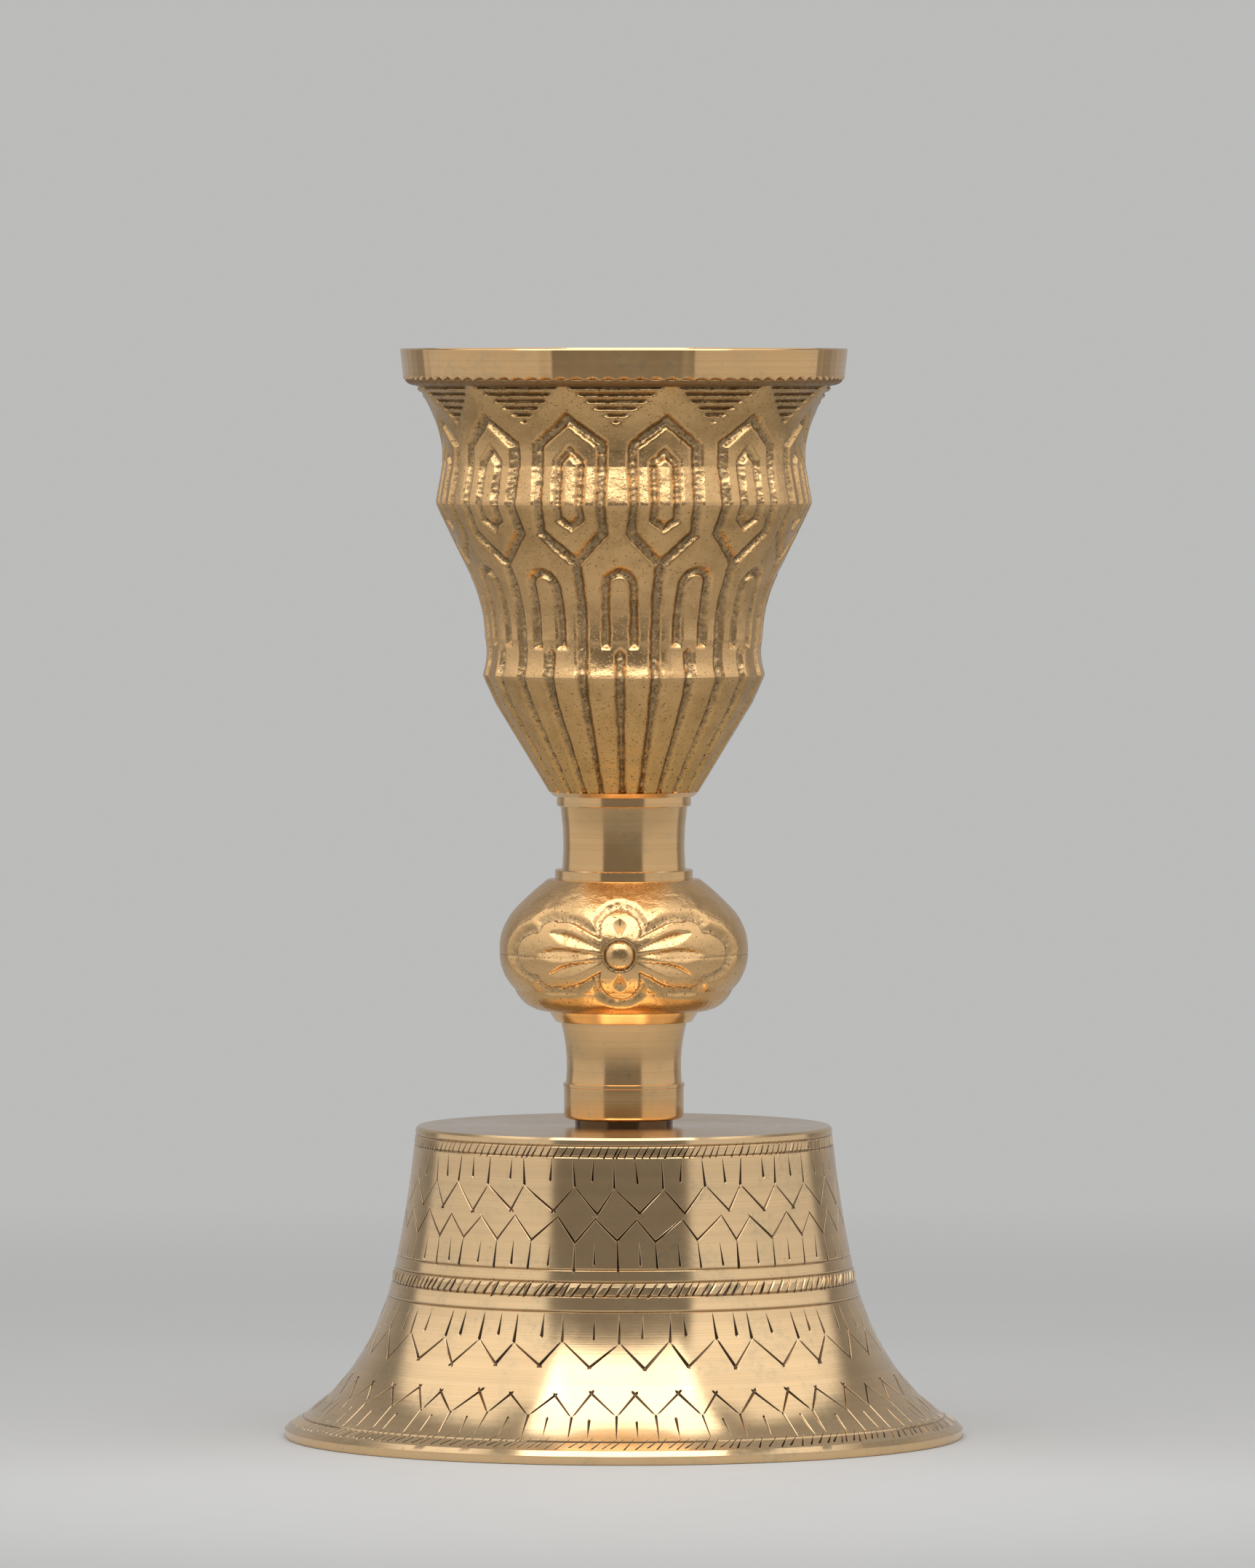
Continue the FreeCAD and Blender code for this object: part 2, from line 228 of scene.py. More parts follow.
# A petal and its heart: half width, rise of the tip and shoulder, drop of the foot and toe
petal = (4.4, 10.3, 6.9, 3.4, 7.5)
heart = (1.95, 6.8, 4.9, 1.9, 3.3)
petal_channel_width = 1.6
heart_channel_width = 1.4
field_valley_rise = 8.5
field_top_rise = 0.3
field_half_width = 7.3
field_step = 0.74
arch_half_width = 2.3
arch_rise = 12.4
arch_leg_rise = 3.1
arch_channel_width = 1.5
slot_half_width = 0.85
slot_tip_rise = 3.6
slot_tip_height = 0.8
flute_foot_half_width = 0.55
bead_half_height = 0.38
bead_rise = 0.28
field_flat_share = 0.25
field_groove_share = 0.65
groove_roughness = 0.085
ridge_wear = 0.05
ridge_wear_width = 0.2
hand_reach = 0.13
relief_seed = 12
rim_scallop = 0.3
rim_edge_reach = 0.5
near_surface = 0.1
hair = 0.01

# Unevenness of cast and cut faces, each layer as its height, the size of its lumps and its seed
relief_wander = ((0.09, 2.2, 1), (0.05, 0.7, 2))
relief_rough = ((1, 0.5, 3), (0.8, 0.3, 4))
bowl_waves = ((0.022, 1.6, 5), (0.007, 0.6, 8))
scallop_wander = ((0.2, 1.1, 6),)
flower_wander = ((0.08, 2.4, 21), (0.04, 0.8, 22))
flower_rough = ((1, 0.45, 23), (0.6, 0.22, 24))
bulb_waves = ((0.03, 1.8, 25), (0.01, 0.6, 26))

# Rod and its thread
thread_depth = 0.55
rod_chamfer = 0.5
tooth_shares = (0, 0.12, 0.46, 0.62, 1)
thread_steps = 20

# Fineness of the meshes
coarse_turn = math.radians(5)
bowl_columns = 720
bulb_columns = 640
sleeve_columns = 256
bulb_row = 0.16
hidden_row_step = 12
merge_distance = 0.0005
joint_distance = 0.002
turned_crease = math.radians(32)
cast_crease = math.radians(60)
taper_row = 0.18
middle_row = 0.17
upper_row = 0.125


class Outline:
    """Half of a round piece's section as radius and height, walked with the metal on its left."""

    def __init__(self, radius, height, row=None):
        self.points = [(radius, height)]
        self.row = row

    def walk(self, *stops):
        """Goes on to each stop's radius and height, on an arc where a swell is given as well."""
        for stop in stops:
            self.arc(*stop)
        return self

    def arc(self, radius, height, swell=0):
        """A line, or an arc that stands out from the metal by swell at its middle, cut into rows."""
        start_radius, start_height = self.points[-1]
        along = Vector((radius - start_radius, height - start_height))
        out = Vector((along.y, -along.x)).normalized()
        half_turn = 2 * math.atan2(2 * swell, along.length)
        if self.row:
            pieces = max(1, math.ceil(along.length / self.row))
        else:
            pieces = max(1, math.ceil(abs(half_turn) * 2 / coarse_turn))
        for piece in range(1, pieces + 1):
            share = piece / pieces
            offset = 0
            if swell:
                turn = half_turn * (2 * share - 1)
                share = (math.sin(turn) / math.sin(half_turn) + 1) / 2
                offset = along.length / 2 / math.sin(half_turn) * (math.cos(turn) - math.cos(half_turn))
            across = start_radius + along.x * share + out.x * offset
            self.points.append((across, start_height + along.y * share + out.y * offset))


def between(low, high, share):
    return low + (high - low) * share


def spun(outline, columns, shown=None, closed=True):
    """A bmesh of the outline turned round Z. Its layer "skin" is 1 on the first shown points. An eighth of
    the round is spun and then doubled three times, so columns is a multiple of eight."""
    bm = bmesh.new()
    skin = bm.verts.layers.float.new("skin")
    ring = []
    for index, (radius, height) in enumerate(outline.points):
        vertex = bm.verts.new((radius, 0, height))
        vertex[skin] = float(shown is not None and index < shown)
        ring.append(vertex)
    edges = [bm.edges.new(pair) for pair in zip(ring, ring[1:])]
    if closed:
        edges.append(bm.edges.new((ring[-1], ring[0])))
    bmesh.ops.spin(
        bm,
        geom=ring + edges,
        cent=(0, 0, 0),
        axis=(0, 0, 1),
        angle=TURN / 8,
        steps=columns // 8,
        use_merge=False,
    )
    for share in (8, 4, 2):
        copy = bmesh.ops.duplicate(bm, geom=bm.verts[:] + bm.edges[:] + bm.faces[:])
        copied = [item for item in copy["geom"] if isinstance(item, bmesh.types.BMVert)]
        bmesh.ops.rotate(bm, verts=copied, cent=(0, 0, 0), matrix=Matrix.Rotation(TURN / share, 3, "Z"))
    bmesh.ops.remove_doubles(bm, verts=bm.verts, dist=merge_distance)
    on_axis = [edge for edge in bm.edges if not edge.link_faces]
    bmesh.ops.delete(bm, geom=on_axis, context="EDGES")
    bmesh.ops.recalc_face_normals(bm, faces=bm.faces)
    return bm


def mesh_of(bm, name):
    """The finished mesh, still in millimetres, shaded smooth."""
    mesh = bpy.data.meshes.new(name)
    for face in bm.faces:
        face.smooth = True
    bm.to_mesh(mesh)
    bm.free()
    return mesh


def places(mesh):
    """The mesh's vertices as an array of x, y and z."""
    flat = np.empty(len(mesh.vertices) * 3)
    mesh.vertices.foreach_get("co", flat)
    return flat.reshape(-1, 3)


def move(mesh, points):
    mesh.vertices.foreach_set("co", points.ravel())


def values_of(mesh, name):
    values = np.empty(len(mesh.vertices))
    mesh.attributes[name].data.foreach_get("value", values)
    return values


def write_values(mesh, name, values):
    layer = mesh.attributes.new(name, "FLOAT", "POINT")
    layer.data.foreach_set("value", values.astype(np.float32))


def put_in_scene(name, data):
    item = bpy.data.objects.new(name, data)
    bpy.context.scene.collection.objects.link(item)
    return item


def place(name, mesh, material, slot, body, *nodes, crease=turned_crease):
    """Puts a mesh in the scene in metres, as a piece that rides on a body in place of CAD nodes."""
    move(mesh, places(mesh) * MM)
    mesh.set_sharp_from_angle(angle=crease)
    mesh.materials.append(material)
    mesh.update()
    piece = put_in_scene(name, mesh)
    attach(piece, body)
    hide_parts(*nodes)
    return piece


def grain(points, size, seed):
    """Smooth noise from -1 to 1 at each point, with lumps about as large as size."""
    dice = np.random.default_rng(seed)
    order = dice.permutation(256)
    slopes = dice.normal(size=(256, 3))
    slopes /= np.linalg.norm(slopes, axis=1)[:, None]
    cell = np.floor(points / size).astype(int)
    inside = points / size - cell
    fade = inside**3 * (inside * (inside * 6 - 15) + 10)
    total = np.zeros(len(points))
    for corner in np.ndindex(2, 2, 2):
        x, y, z = (cell + corner).T
        picked = slopes[order[(order[(order[x % 256] + y) % 256] + z) % 256]]
        weight = np.where(corner, fade, 1 - fade).prod(axis=1)
        total += weight * ((inside - corner) * picked).sum(axis=1)
    return total * 1.7


def uneven(points, layers):
    """The sum of layers of noise, each given as its height, the size of its lumps and its seed."""
    return sum(height * grain(points, size, seed) for height, size, seed in layers)


def round_places(points):
    """Each place's radius, and its turn from the front round to +X."""
    return np.hypot(points[:, 0], points[:, 1]), np.arctan2(points[:, 0], -points[:, 1])


def polygon_distance(x, z, corners):
    """Distance to a closed polygon's edge at each place, less than zero inside."""
    nearest = np.full(x.shape, np.inf)
    inside = np.zeros(x.shape, bool)
    for (ax, az), (bx, bz) in zip(corners, corners[1:] + corners[:1]):
        along_x, along_z = bx - ax, bz - az
        share = ((x - ax) * along_x + (z - az) * along_z) / (along_x**2 + along_z**2)
        share = np.clip(share, 0, 1)
        nearest = np.minimum(nearest, np.hypot(x - ax - share * along_x, z - az - share * along_z))
        if along_z:
            crosses = (az > z) != (bz > z)
            inside ^= crosses & (x < along_x * (z - az) / along_z + ax)
    return np.where(inside, -nearest, nearest)


def figure_distance(x, z, points):
    """Distance to the edge of a figure whose right half is given, from the top down."""
    mirrored = [(-sideways, height) for sideways, height in reversed(points) if sideways]
    return polygon_distance(x, z, points + mirrored)


def strip(distance, width):
    """The distance to a channel of that width along the inside of a figure's edge."""
    return np.maximum(distance, -distance - width)


def arch_distance(x, z, half_width, spring, leg_foot):
    head = np.hypot(x, np.maximum(z - spring, 0)) - half_width
    return np.maximum(head, leg_foot - z)


def flute_distance(x, z, tip_level):
    """A groove with a pointed tip that runs over the lower ridge and narrows down the taper."""
    shoulder = (slot_half_width, tip_level - slot_tip_height)
    foot = (flute_foot_half_width, bowl_bottom)
    return figure_distance(x, z, [(0, tip_level), shoulder, (slot_half_width, lower_ridge_level), foot])


def ridge_figure_distance(x, z, half_width, tip_rise, shoulder_rise, foot_drop, toe_drop):
    """A long six-sided figure that lies over the upper ridge."""
    rises = ((0, tip_rise), (half_width, shoulder_rise), (half_width, -foot_drop), (0, -toe_drop))
    return figure_distance(x, z, [(sideways, upper_ridge_level + rise) for sideways, rise in rises])


def petal_distance(x, z):
    edge = strip(ridge_figure_distance(x, z, *petal), petal_channel_width)
    heart_edge = strip(ridge_figure_distance(x, z, *heart), heart_channel_width)
    toe = upper_ridge_level - petal[-1] + petal_channel_width
    return np.minimum.reduce([edge, heart_edge, flute_distance(x, z, toe)])


def arch_figure_distance(x, z):
    leg_foot = lower_ridge_level + arch_leg_rise
    spring = lower_ridge_level + arch_rise - arch_half_width
    outer = arch_distance(x, z, arch_half_width, spring, leg_foot)
    inner = arch_distance(x, z, arch_half_width - arch_channel_width, spring, leg_foot - arch_channel_width)
    channel = np.maximum(outer, -inner)
    return np.minimum(channel, flute_distance(x, z, lower_ridge_level + slot_tip_rise))


def field_distance(x, z):
    valley = (0, upper_ridge_level + field_valley_rise)
    return figure_distance(x, z, [valley, (field_half_width, flare_level + field_top_rise)])


class Hand(random.Random):
    """Seeded draws for what a hand sets a little unevenly."""

    def off(self, most):
        return self.uniform(-most, most)


def hand_wander(hand):
    """A small sideways and upward shift for each sector, as a pattern cut by hand has."""
    shifts = [hand.off(hand_reach) for _ in range(2 * sector_count)]
    return np.array(shifts).reshape(sector_count, 2)


def sink(distance, wall):
    """How deep a channel is as a share, from 0 at its edge to 1 once a wall's width inside."""
    share = np.clip(-distance / wall, 0, 1)
    return share * share * (3 - 2 * share)


def carve_bowl(mesh, sizes):
    """Sinks the bowl's petals, arches, fields and flutes into a tier's skin, and beads its upper edge."""
    points = places(mesh)
    skin = values_of(mesh, "skin") > 0.5
    cut = points[skin]
    radius, azimuth = round_places(cut)
    height = cut[:, 2]
    wander = uneven(cut, relief_wander)
    rough = uneven(cut, relief_rough)
    sector = TURN / sector_count
    hand = Hand(relief_seed)
    distances = []
    for figure, offset in ((petal_distance, 0.5), (arch_figure_distance, 0), (field_distance, 0)):
        index = np.round(azimuth / sector - offset)
        sideways = radius * np.sin(azimuth - (index + offset) * sector)
        shifts = hand_wander(hand)[index.astype(int) % sector_count]
        distances.append(figure(sideways + shifts[:, 0], height + shifts[:, 1]) + wander)
    wall = sizes.channel_wall / MM
    channels = sink(np.minimum(distances[0], distances[1]), wall)
    fields = sink(distances[2], wall)
    steps = 0.5 - 0.5 * np.cos(TURN * (height / field_step + 0.6 * wander))
    field_depths = fields * (field_flat_share + field_groove_share * steps**2)
    depth = sizes.channel_depth / MM * np.maximum(channels, field_depths)
    depth += groove_roughness * rough * np.maximum(channels, 0.3 * fields) + uneven(cut, bowl_waves)
    for ridge in (upper_ridge_level, lower_ridge_level):
        depth += ridge_wear * np.exp(-(((height - ridge) / ridge_wear_width) ** 2))
    bead_middle = flare_level - bead_half_height
    bead = np.sqrt(np.clip(1 - ((height - bead_middle) / bead_half_height) ** 2, 0, 1))
    hump = np.abs(np.sin(azimuth * sizes.rim_ripples / 2))
    depth = np.where(bead > 0, (1 - bead) * depth - bead_rise * bead * (0.5 + 0.5 * hump), depth)
    points[skin, :2] = cut[:, :2] * (1 - depth / radius)[:, None]
    move(mesh, points)
    # Residue and painted shade: the channels and fields are darkened the deeper they sink, most in the field
    # grooves, and the bead is darkened as well.
    grime_and_shade = np.zeros(len(points))
    dirt_and_shade = np.maximum(channels, fields * (0.5 + 1.3 * steps**4)) * (0.85 + 0.4 * rough)
    grime_and_shade[skin] = np.clip(np.maximum(dirt_and_shade, 2 * bead), 0, 2)
    write_values(mesh, "grime_and_shade", grime_and_shade)


def cast_tier(draw, foot, row):
    """A tier's ring: its skin drawn upward from the foot, and a coarser hidden side back down."""
    outline = Outline(*foot, row=row)
    draw(outline)
    skin = outline.points[:]
    outline.row = None
    for radius, height in reversed(skin[:-1:hidden_row_step] + skin[-1:]):
        outline.arc(radius - skin_thickness, height)
    return spun(outline, bowl_columns, len(skin))


def draw_taper(outline, inset=0):
    outline.arc(taper_shoulder_radius - inset, lower_ridge_level - taper_shoulder_drop)
    outline.arc(lower_ridge_radius - inset, lower_ridge_level)


def draw_middle_tier(outline, inset=0):
    lower_waist = between(lower_ridge_level, upper_ridge_level, lower_waist_share)
    outline.arc(lower_waist_radius - inset, lower_waist, -lower_fillet_hollow)
    middle_bend = between(lower_ridge_level, upper_ridge_level, middle_bend_share)
    outline.arc(middle_bend_radius - inset, middle_bend, -middle_hollow)
    outline.arc(upper_ridge_radius - inset, upper_ridge_level)


def draw_upper_tier(outline, inset=0, top=flare_level):
    for share in upper_waist_span:
        outline.arc(upper_waist_radius - inset, between(upper_ridge_level, flare_level, share))
    outline.arc(flare_radius - inset, top, -flare_hollow)


def bowl_turning_outline():
    """What the lathe cut on the bowl: rim band, lip, inside, socket, tapped hole and foot. Between the
    foot and the rim band it is the core under the cast tiers."""
    upper_waist = between(upper_ridge_level, flare_level, upper_waist_share)
    middle_bend = between(lower_ridge_level, upper_ridge_level, middle_bend_share)
    bore = rod_radius + thread_clearance
    core_top = flare_level - rim_band_bite
    outline = Outline(flare_radius - core_inset, core_top)
    outline.walk(
        (flare_radius, flare_level),
        (rim_band_radius, flare_level + rim_band_step),
        (rim_radius - lip_draft, lip_level - lip_bevel_height),
        (rim_radius - lip_draft - lip_bevel_width, lip_level),
        (rim_radius - lip_width, lip_level),
        (rim_band_radius - lip_width, lip_level - lip_depth),
        (upper_waist_radius - bowl_wall, upper_waist, throat_swell),
        (middle_bend_radius - bowl_wall, middle_bend),
        (lower_waist_radius - bowl_wall, floor_level + floor_shoulder_rise),
        (wick_socket_radius, floor_level, -floor_hollow),
        (wick_socket_radius, floor_level - wick_socket_depth),
        (0, floor_level - wick_socket_depth),
        (0, tapped_hole_top),
        (bore, tapped_hole_top),
        (bore, bowl_foot),
        (bowl_collar_radius - bowl_collar_bevel, bowl_foot),
        (bowl_collar_radius, bowl_foot + bowl_collar_bevel),
        (bowl_collar_radius, bowl_bottom),
        (bowl_bottom_radius, bowl_bottom),
        (bowl_bottom_radius + bowl_bottom_bevel, bowl_bottom + bowl_bottom_bevel),
        (bowl_bottom_radius + bowl_bottom_bevel - core_inset, bowl_bottom + bowl_bottom_bevel),
    )
    draw_taper(outline, core_inset)
    draw_middle_tier(outline, core_inset)
    draw_upper_tier(outline, core_inset, core_top)
    outline.points.pop()
    return outline


def ripple_rim(mesh, sizes):
    """Waves the rim band's lower edge up and down, where the lathe ran out over the cast fields."""
    points = places(mesh)
    radius, azimuth = round_places(points)
    edge = (radius > flare_radius - near_surface) & (abs(points[:, 2] - flare_level) < rim_edge_reach)
    wave = np.abs(np.sin(azimuth * sizes.rim_ripples / 2)) - 0.5 + uneven(points, scallop_wander)
    points[:, 2] += np.where(edge, rim_scallop * wave, 0)
    move(mesh, points)


def soot_socket(mesh):
    """Blackens the wick socket's bottom, fading up its wall."""
    points = places(mesh)
    inside = round_places(points)[0] < wick_socket_radius + hair
    write_values(mesh, "grime_and_shade", soot_share * (inside & (points[:, 2] < floor_level - near_surface)))


def shade_spigot_gap(mesh):
    """Paints shade into the gap under the ferrule, darkening the whole spigot."""
    points = places(mesh)
    inside = round_places(points)[0] < spigot_radius + hair
    write_values(mesh, "grime_and_shade", (inside & (points[:, 2] < neck_foot + spigot_height + hair)).astype(float))


def lower_neck_outline():
    ferrule_foot = neck_foot + spigot_height
    ferrule_top = neck_foot + ferrule_top_rise
    outline = Outline(sleeve_bore, neck_foot)
    outline.walk(
        (spigot_radius, neck_foot),
        (spigot_radius, ferrule_foot),
        (ferrule_radius - ferrule_round, ferrule_foot),
        (ferrule_radius, ferrule_foot + ferrule_round, ferrule_round_swell),
        (ferrule_radius, ferrule_top),
        (ferrule_radius + ferrule_ridge, ferrule_top + ferrule_step),
        (ferrule_radius + ferrule_ridge, ferrule_top + ferrule_ridge_height - ferrule_ridge),
        (lower_neck_foot_radius, ferrule_top + ferrule_ridge_height),
        (lower_neck_top_radius, knop_foot, -lower_neck_hollow),
        (sleeve_bore, knop_foot),
    )
    return outline


def upper_neck_outline():
    outline = Outline(sleeve_bore, knop_top)
    outline.walk(
        (upper_neck_foot_radius, knop_top),
        (upper_neck_top_radius, bowl_foot, -upper_neck_hollow),
        (sleeve_bore, bowl_foot),
    )
    return outline


def bulb_outline():
    """The cast bulb's section, and how many of its first points show."""
    belly_radius = between(knop_foot_radius, knop_radius, knop_belly_shares[0])
    belly = between(bulb_foot, equator, knop_belly_shares[1])
    shoulder_radius = between(knop_head_radius, knop_radius, knop_shoulder_shares[0])
    shoulder = between(equator, bulb_head, knop_shoulder_shares[1])
    outline = Outline(knop_foot_radius, bulb_foot, row=bulb_row)
    outline.walk(
        (belly_radius, belly, knop_belly_swells[0]),
        (knop_radius, equator, knop_belly_swells[1]),
        (shoulder_radius, shoulder, knop_shoulder_swells[0]),
        (knop_head_radius, bulb_head, knop_shoulder_swells[1]),
    )
    shown = len(outline.points)
    outline.row = None
    outline.arc(knop_core_radius, bulb_head)
    outline.arc(knop_core_radius, bulb_foot)
    return outline, shown


def collars_outline():
    """Both turned collars, and the core that joins them inside the bulb."""
    outline = Outline(sleeve_bore, knop_foot)
    outline.walk(
        (knop_collar_radius - knop_collar_bevel, knop_foot),
        (knop_collar_radius, knop_foot + knop_collar_bevel),
        (knop_collar_radius + knop_collar_spread, bulb_foot),
        (knop_core_radius, bulb_foot),
        (knop_core_radius, bulb_head),
        (knop_collar_radius, bulb_head),
        (knop_collar_radius, knop_top - knop_collar_bevel),
        (knop_collar_radius - knop_collar_bevel, knop_top),
        (sleeve_bore, knop_top),
    )
    return outline


def wing_distance(x, z):
    """Distance to a wing's edge: a body that widens from the boss, and three round lobes at its end."""
    x = np.abs(x)
    z = np.abs(z)
    slope = (wing_root_radius - wing_body_radius) / wing_body_reach
    rise = math.sqrt(1 - slope * slope)
    along = -slope * z + rise * x
    body = np.where(
        along < 0,
        np.hypot(x, z) - wing_root_radius,
        np.where(
            along > rise * wing_body_reach,
            np.hypot(x - wing_body_reach, z) - wing_body_radius,
            rise * z + slope * x - wing_root_radius,
        ),
    )
    corner = np.hypot(x - wing_corner_reach, z - wing_corner_rise) - wing_corner_radius
    end = np.hypot(x - wing_end_reach, z) - wing_end_radius
    return np.minimum.reduce([body, corner, end])


def leaf_hollow(x, z, span, turn, lean):
    """A pointed hollow along a ray from the boss, 1 at its deepest line, which leans to the upper side."""
    along = x * math.cos(turn) + z * math.sin(turn)
    across = z * math.cos(turn) - x * math.sin(turn)
    share = np.clip((along - span[0]) / (span[1] - span[0]), 0, 1)
    half = leaf_half_width * np.clip(share * 1.6 + 0.1, 0, 1) * np.clip((1 - share) * 4, 0, 1) ** 0.6
    half = np.maximum(half, 0.0001)
    upper = (half - across) / (half * (1 - lean))
    lower = (half + across) / (half * (1 + lean))
    inside = (along > span[0]) & (along < span[1])
    hollow = np.where(inside, np.clip(np.minimum(upper, lower), 0, 1), 0)
    return hollow * np.clip(half / leaf_half_width, 0, 1)


def carve_knop(mesh, sizes):
    """Sinks a flower into the knop's front and back, round a low boss."""
    points = places(mesh)
    normals = np.empty(len(points) * 3)
    mesh.vertices.foreach_get("normal", normals)
    normals = normals.reshape(-1, 3)
    skin = (values_of(mesh, "skin") > 0.5) & (abs(points[:, 2] - equator) < flower_reach)
    cut = points[skin]
    rough = uneven(cut, flower_rough)
    x = cut[:, 0] * np.where(cut[:, 1] <= 0, 1, -1)
    z = cut[:, 2] - equator
    petals = np.hypot(x, np.abs(z) - flower_petal_rise) - flower_petal_radius
    figure = np.minimum(petals, wing_distance(x, z)) + uneven(cut, flower_wander)
    share = np.clip(figure / (sizes.flower_channel / MM), 0, 1)
    channel = sink(-figure, flower_channel_walls[0]) * sink(share - 1, flower_channel_walls[1])
    wings = abs(x)
    leaves = np.maximum.reduce(
        [
            leaf_hollow(wings, z, wing_leaf_reach, 0, leaf_lean),
            leaf_hollow(wings, z, outer_leaf_reach, outer_leaf_slope, leaf_lean),
            leaf_hollow(wings, z, outer_leaf_reach, -outer_leaf_slope, leaf_lean),
            petal_leaf_share * leaf_hollow(np.abs(z), x, petal_leaf_reach, 0, 0),
        ]
    )
    depth = np.maximum(sizes.flower_depth / MM * channel, leaf_depth * leaves)
    depth += flower_roughness * rough * channel
    from_boss = np.hypot(x, z)
    moat = sink(np.abs(from_boss - boss_radius) - moat_width, moat_wall)
    depth = np.maximum(depth, moat_depth * moat)
    dome = np.sqrt(np.clip(1 - (from_boss / boss_radius) ** 2, 0, 1))
    depth = np.where(from_boss < boss_radius, moat_depth - (boss_height + moat_depth) * dome, depth)
    parting = np.exp(-(((z + parting_drop) / parting_half_width) ** 2)) * (abs(x) > parting_start)
    depth += parting_depth * parting + uneven(cut, bulb_waves)
    points[skin] = cut - normals[skin] * depth[:, None]
    move(mesh, points)
    # Residue and painted shade: the flower's channel, its edges, the moat round the boss and the parting
    # line are darkened.
    grime_and_shade = np.zeros(len(points))
    edges = np.clip(1 - np.abs(figure - 0.1) / flower_edge_width, 0, 1)
    dirt_and_shade = np.maximum.reduce([0.8 * channel, edges, moat, parting]) * (0.8 + 0.4 * rough)
    grime_and_shade[skin] = np.clip(dirt_and_shade, 0, 1)
    write_values(mesh, "grime_and_shade", grime_and_shade)


# Engraving of the base. Heights of the turned lines and of each row of strokes, from the table up.
turned_lines = (33.42, 32.28, 20.12, 18.78, 17.3, 15.65, 2.3)
turned_line_half_width = 0.17
turned_line_depth = 0.13
turned_line_darkening = 0.2
rope_band = (17.45, 18.65)
rope_rise = 0.1
# Rows of strokes: how many go round, then the heights of their points from the top down
upper_chevrons = (30, 32.2, 29.1, 26.15, 29.65, 32.15)
upper_peaks = (33, 25.8, 23.15, 20.15, 20.6, 23.2)
lower_chevrons = (32, 15.45, 12.5, 9.75, 12.9, 15.4)
lower_peaks = (43, 7.1, 4.8, 2.55, 2.6, 4.4)
# Hatched bands: strokes round, foot, head, lean in degrees of turn, width
hatch_bands = (
    (175, 32.25, 33.62, 1.9, 0.26),
    (152, 17.3, 18.95, 2.6, 0.38),
    (206, 1.7, 2.65, 2.4, 0.26),
)
engraving_seed = 7
# How wide a stroke already is near its thin end, as a share
short_lead = 0.25
apex_lead = 0.35
stem_lead = 0.4
chevron_lead = 0.6
peak_lead = 0.65
stroke_entry = 0.14
stroke_cap = 0.7
# A stroke's edges between its corners
stroke_edges = (
    *((0, 1), (1, 2), (2, 3), (3, 4), (4, 5), (5, 0), (0, 6)),
    *((6, 7), (7, 3), (1, 6), (5, 6), (2, 7), (4, 7)),
)
flat_row = 0.62
least_row = 0.15
least_cut = 1e-5
stroke_overlap = 2
steep_enough = 0.98
skin_overlap_columns = 3
engraving_crease = math.radians(25)


def chevrons(hand, count, stem, apex, foot, short_foot, short_head, width):
    """A row of zigzag strokes, each with a stem at its apex and a short stroke between two stems.
    Every stroke is its thin end, its thick end and its width."""
    unit = TURN / count
    strokes = []
    jitter = [(hand.off(0.13), hand.off(0.22)) for _ in range(count)]
    valleys = [(hand.off(0.1), hand.off(0.2)) for _ in range(count)]
    for index in range(count):
        shift, drop = jitter[index]
        middle = (index + shift) * unit
        top = apex + drop
        lean = hand.off(0.07) * unit
        strokes.append((middle + lean, stem + hand.off(0.1), middle, top, width, apex_lead))
        for side in (0, 1):
            sideways, lower = valleys[(index + side) % count]
            end = (index + side - 0.5 + sideways) * unit
            over = hand.uniform(-0.03, 0.09) * (end - middle)
            thick = width * hand.uniform(0.8, 1.15)
            tip = (middle - over * 0.4, top + hand.uniform(-0.1, 0.15))
            strokes.append((*tip, end + over, foot + lower, thick, chevron_lead))
        between_stems = (index + 0.5 + hand.off(0.08)) * unit
        lean = hand.off(0.06) * unit
        head = (between_stems + lean, short_head + hand.off(0.15))
        foot_end = (between_stems, short_foot + hand.off(0.25))
        strokes.append((*head, *foot_end, width * hand.uniform(0.8, 1.1), short_lead))
    return strokes


def upright_chevrons(hand, count, peak, valley, stem, short_foot, short_head, width, thick_at_top):
    """A row of strokes that meet in peaks and run down from the valleys between them."""
    unit = TURN / count
    strokes = []
    peaks = [(hand.off(0.12), hand.off(0.2)) for _ in range(count)]
    for index in range(count):
        middle = (index + hand.off(0.1)) * unit
        low = valley + hand.off(0.15)
        pieces = []
        for side in (0, 1):
            sideways, rise = peaks[(index + side) % count]
            end = (index + side - 0.5 + sideways) * unit
            over = hand.uniform(0.02, 0.16) * (end - middle)
            pieces.append((end + over, peak + rise + abs(over) * 12, middle, low, peak_lead))
        lean = hand.off(0.06) * unit
        pieces.append((middle, low, middle + lean, stem + hand.off(0.2), stem_lead))
        between_stems = (index + 0.5 + hand.off(0.08)) * unit
        head = (between_stems, short_head + hand.off(0.2))
        pieces.append((*head, between_stems + lean, short_foot + hand.off(0.15), short_lead))
        for ax, az, bx, bz, lead in pieces:
            thick = width * hand.uniform(0.75, 1.15)
            ends = (bx, bz, ax, az) if thick_at_top else (ax, az, bx, bz)
            strokes.append((*ends, thick, lead))
    return strokes


def hatching(hand, count, foot, head, lean, width):
    """A band of short slanting strokes, unevenly spaced as a hand sets them."""
    unit = TURN / count
    strokes = []
    for index in range(count):
        turn = (index + hand.off(0.14) + 0.5 * math.sin(index * 0.37)) * unit
        slant = math.radians(lean) * hand.uniform(0.75, 1.25)
        start = (turn + slant, head + hand.uniform(-0.05, 0.15))
        end = (turn, foot + hand.uniform(-0.12, 0.1))
        strokes.append((*start, *end, width * hand.uniform(0.75, 1.2), stem_lead))
    return strokes


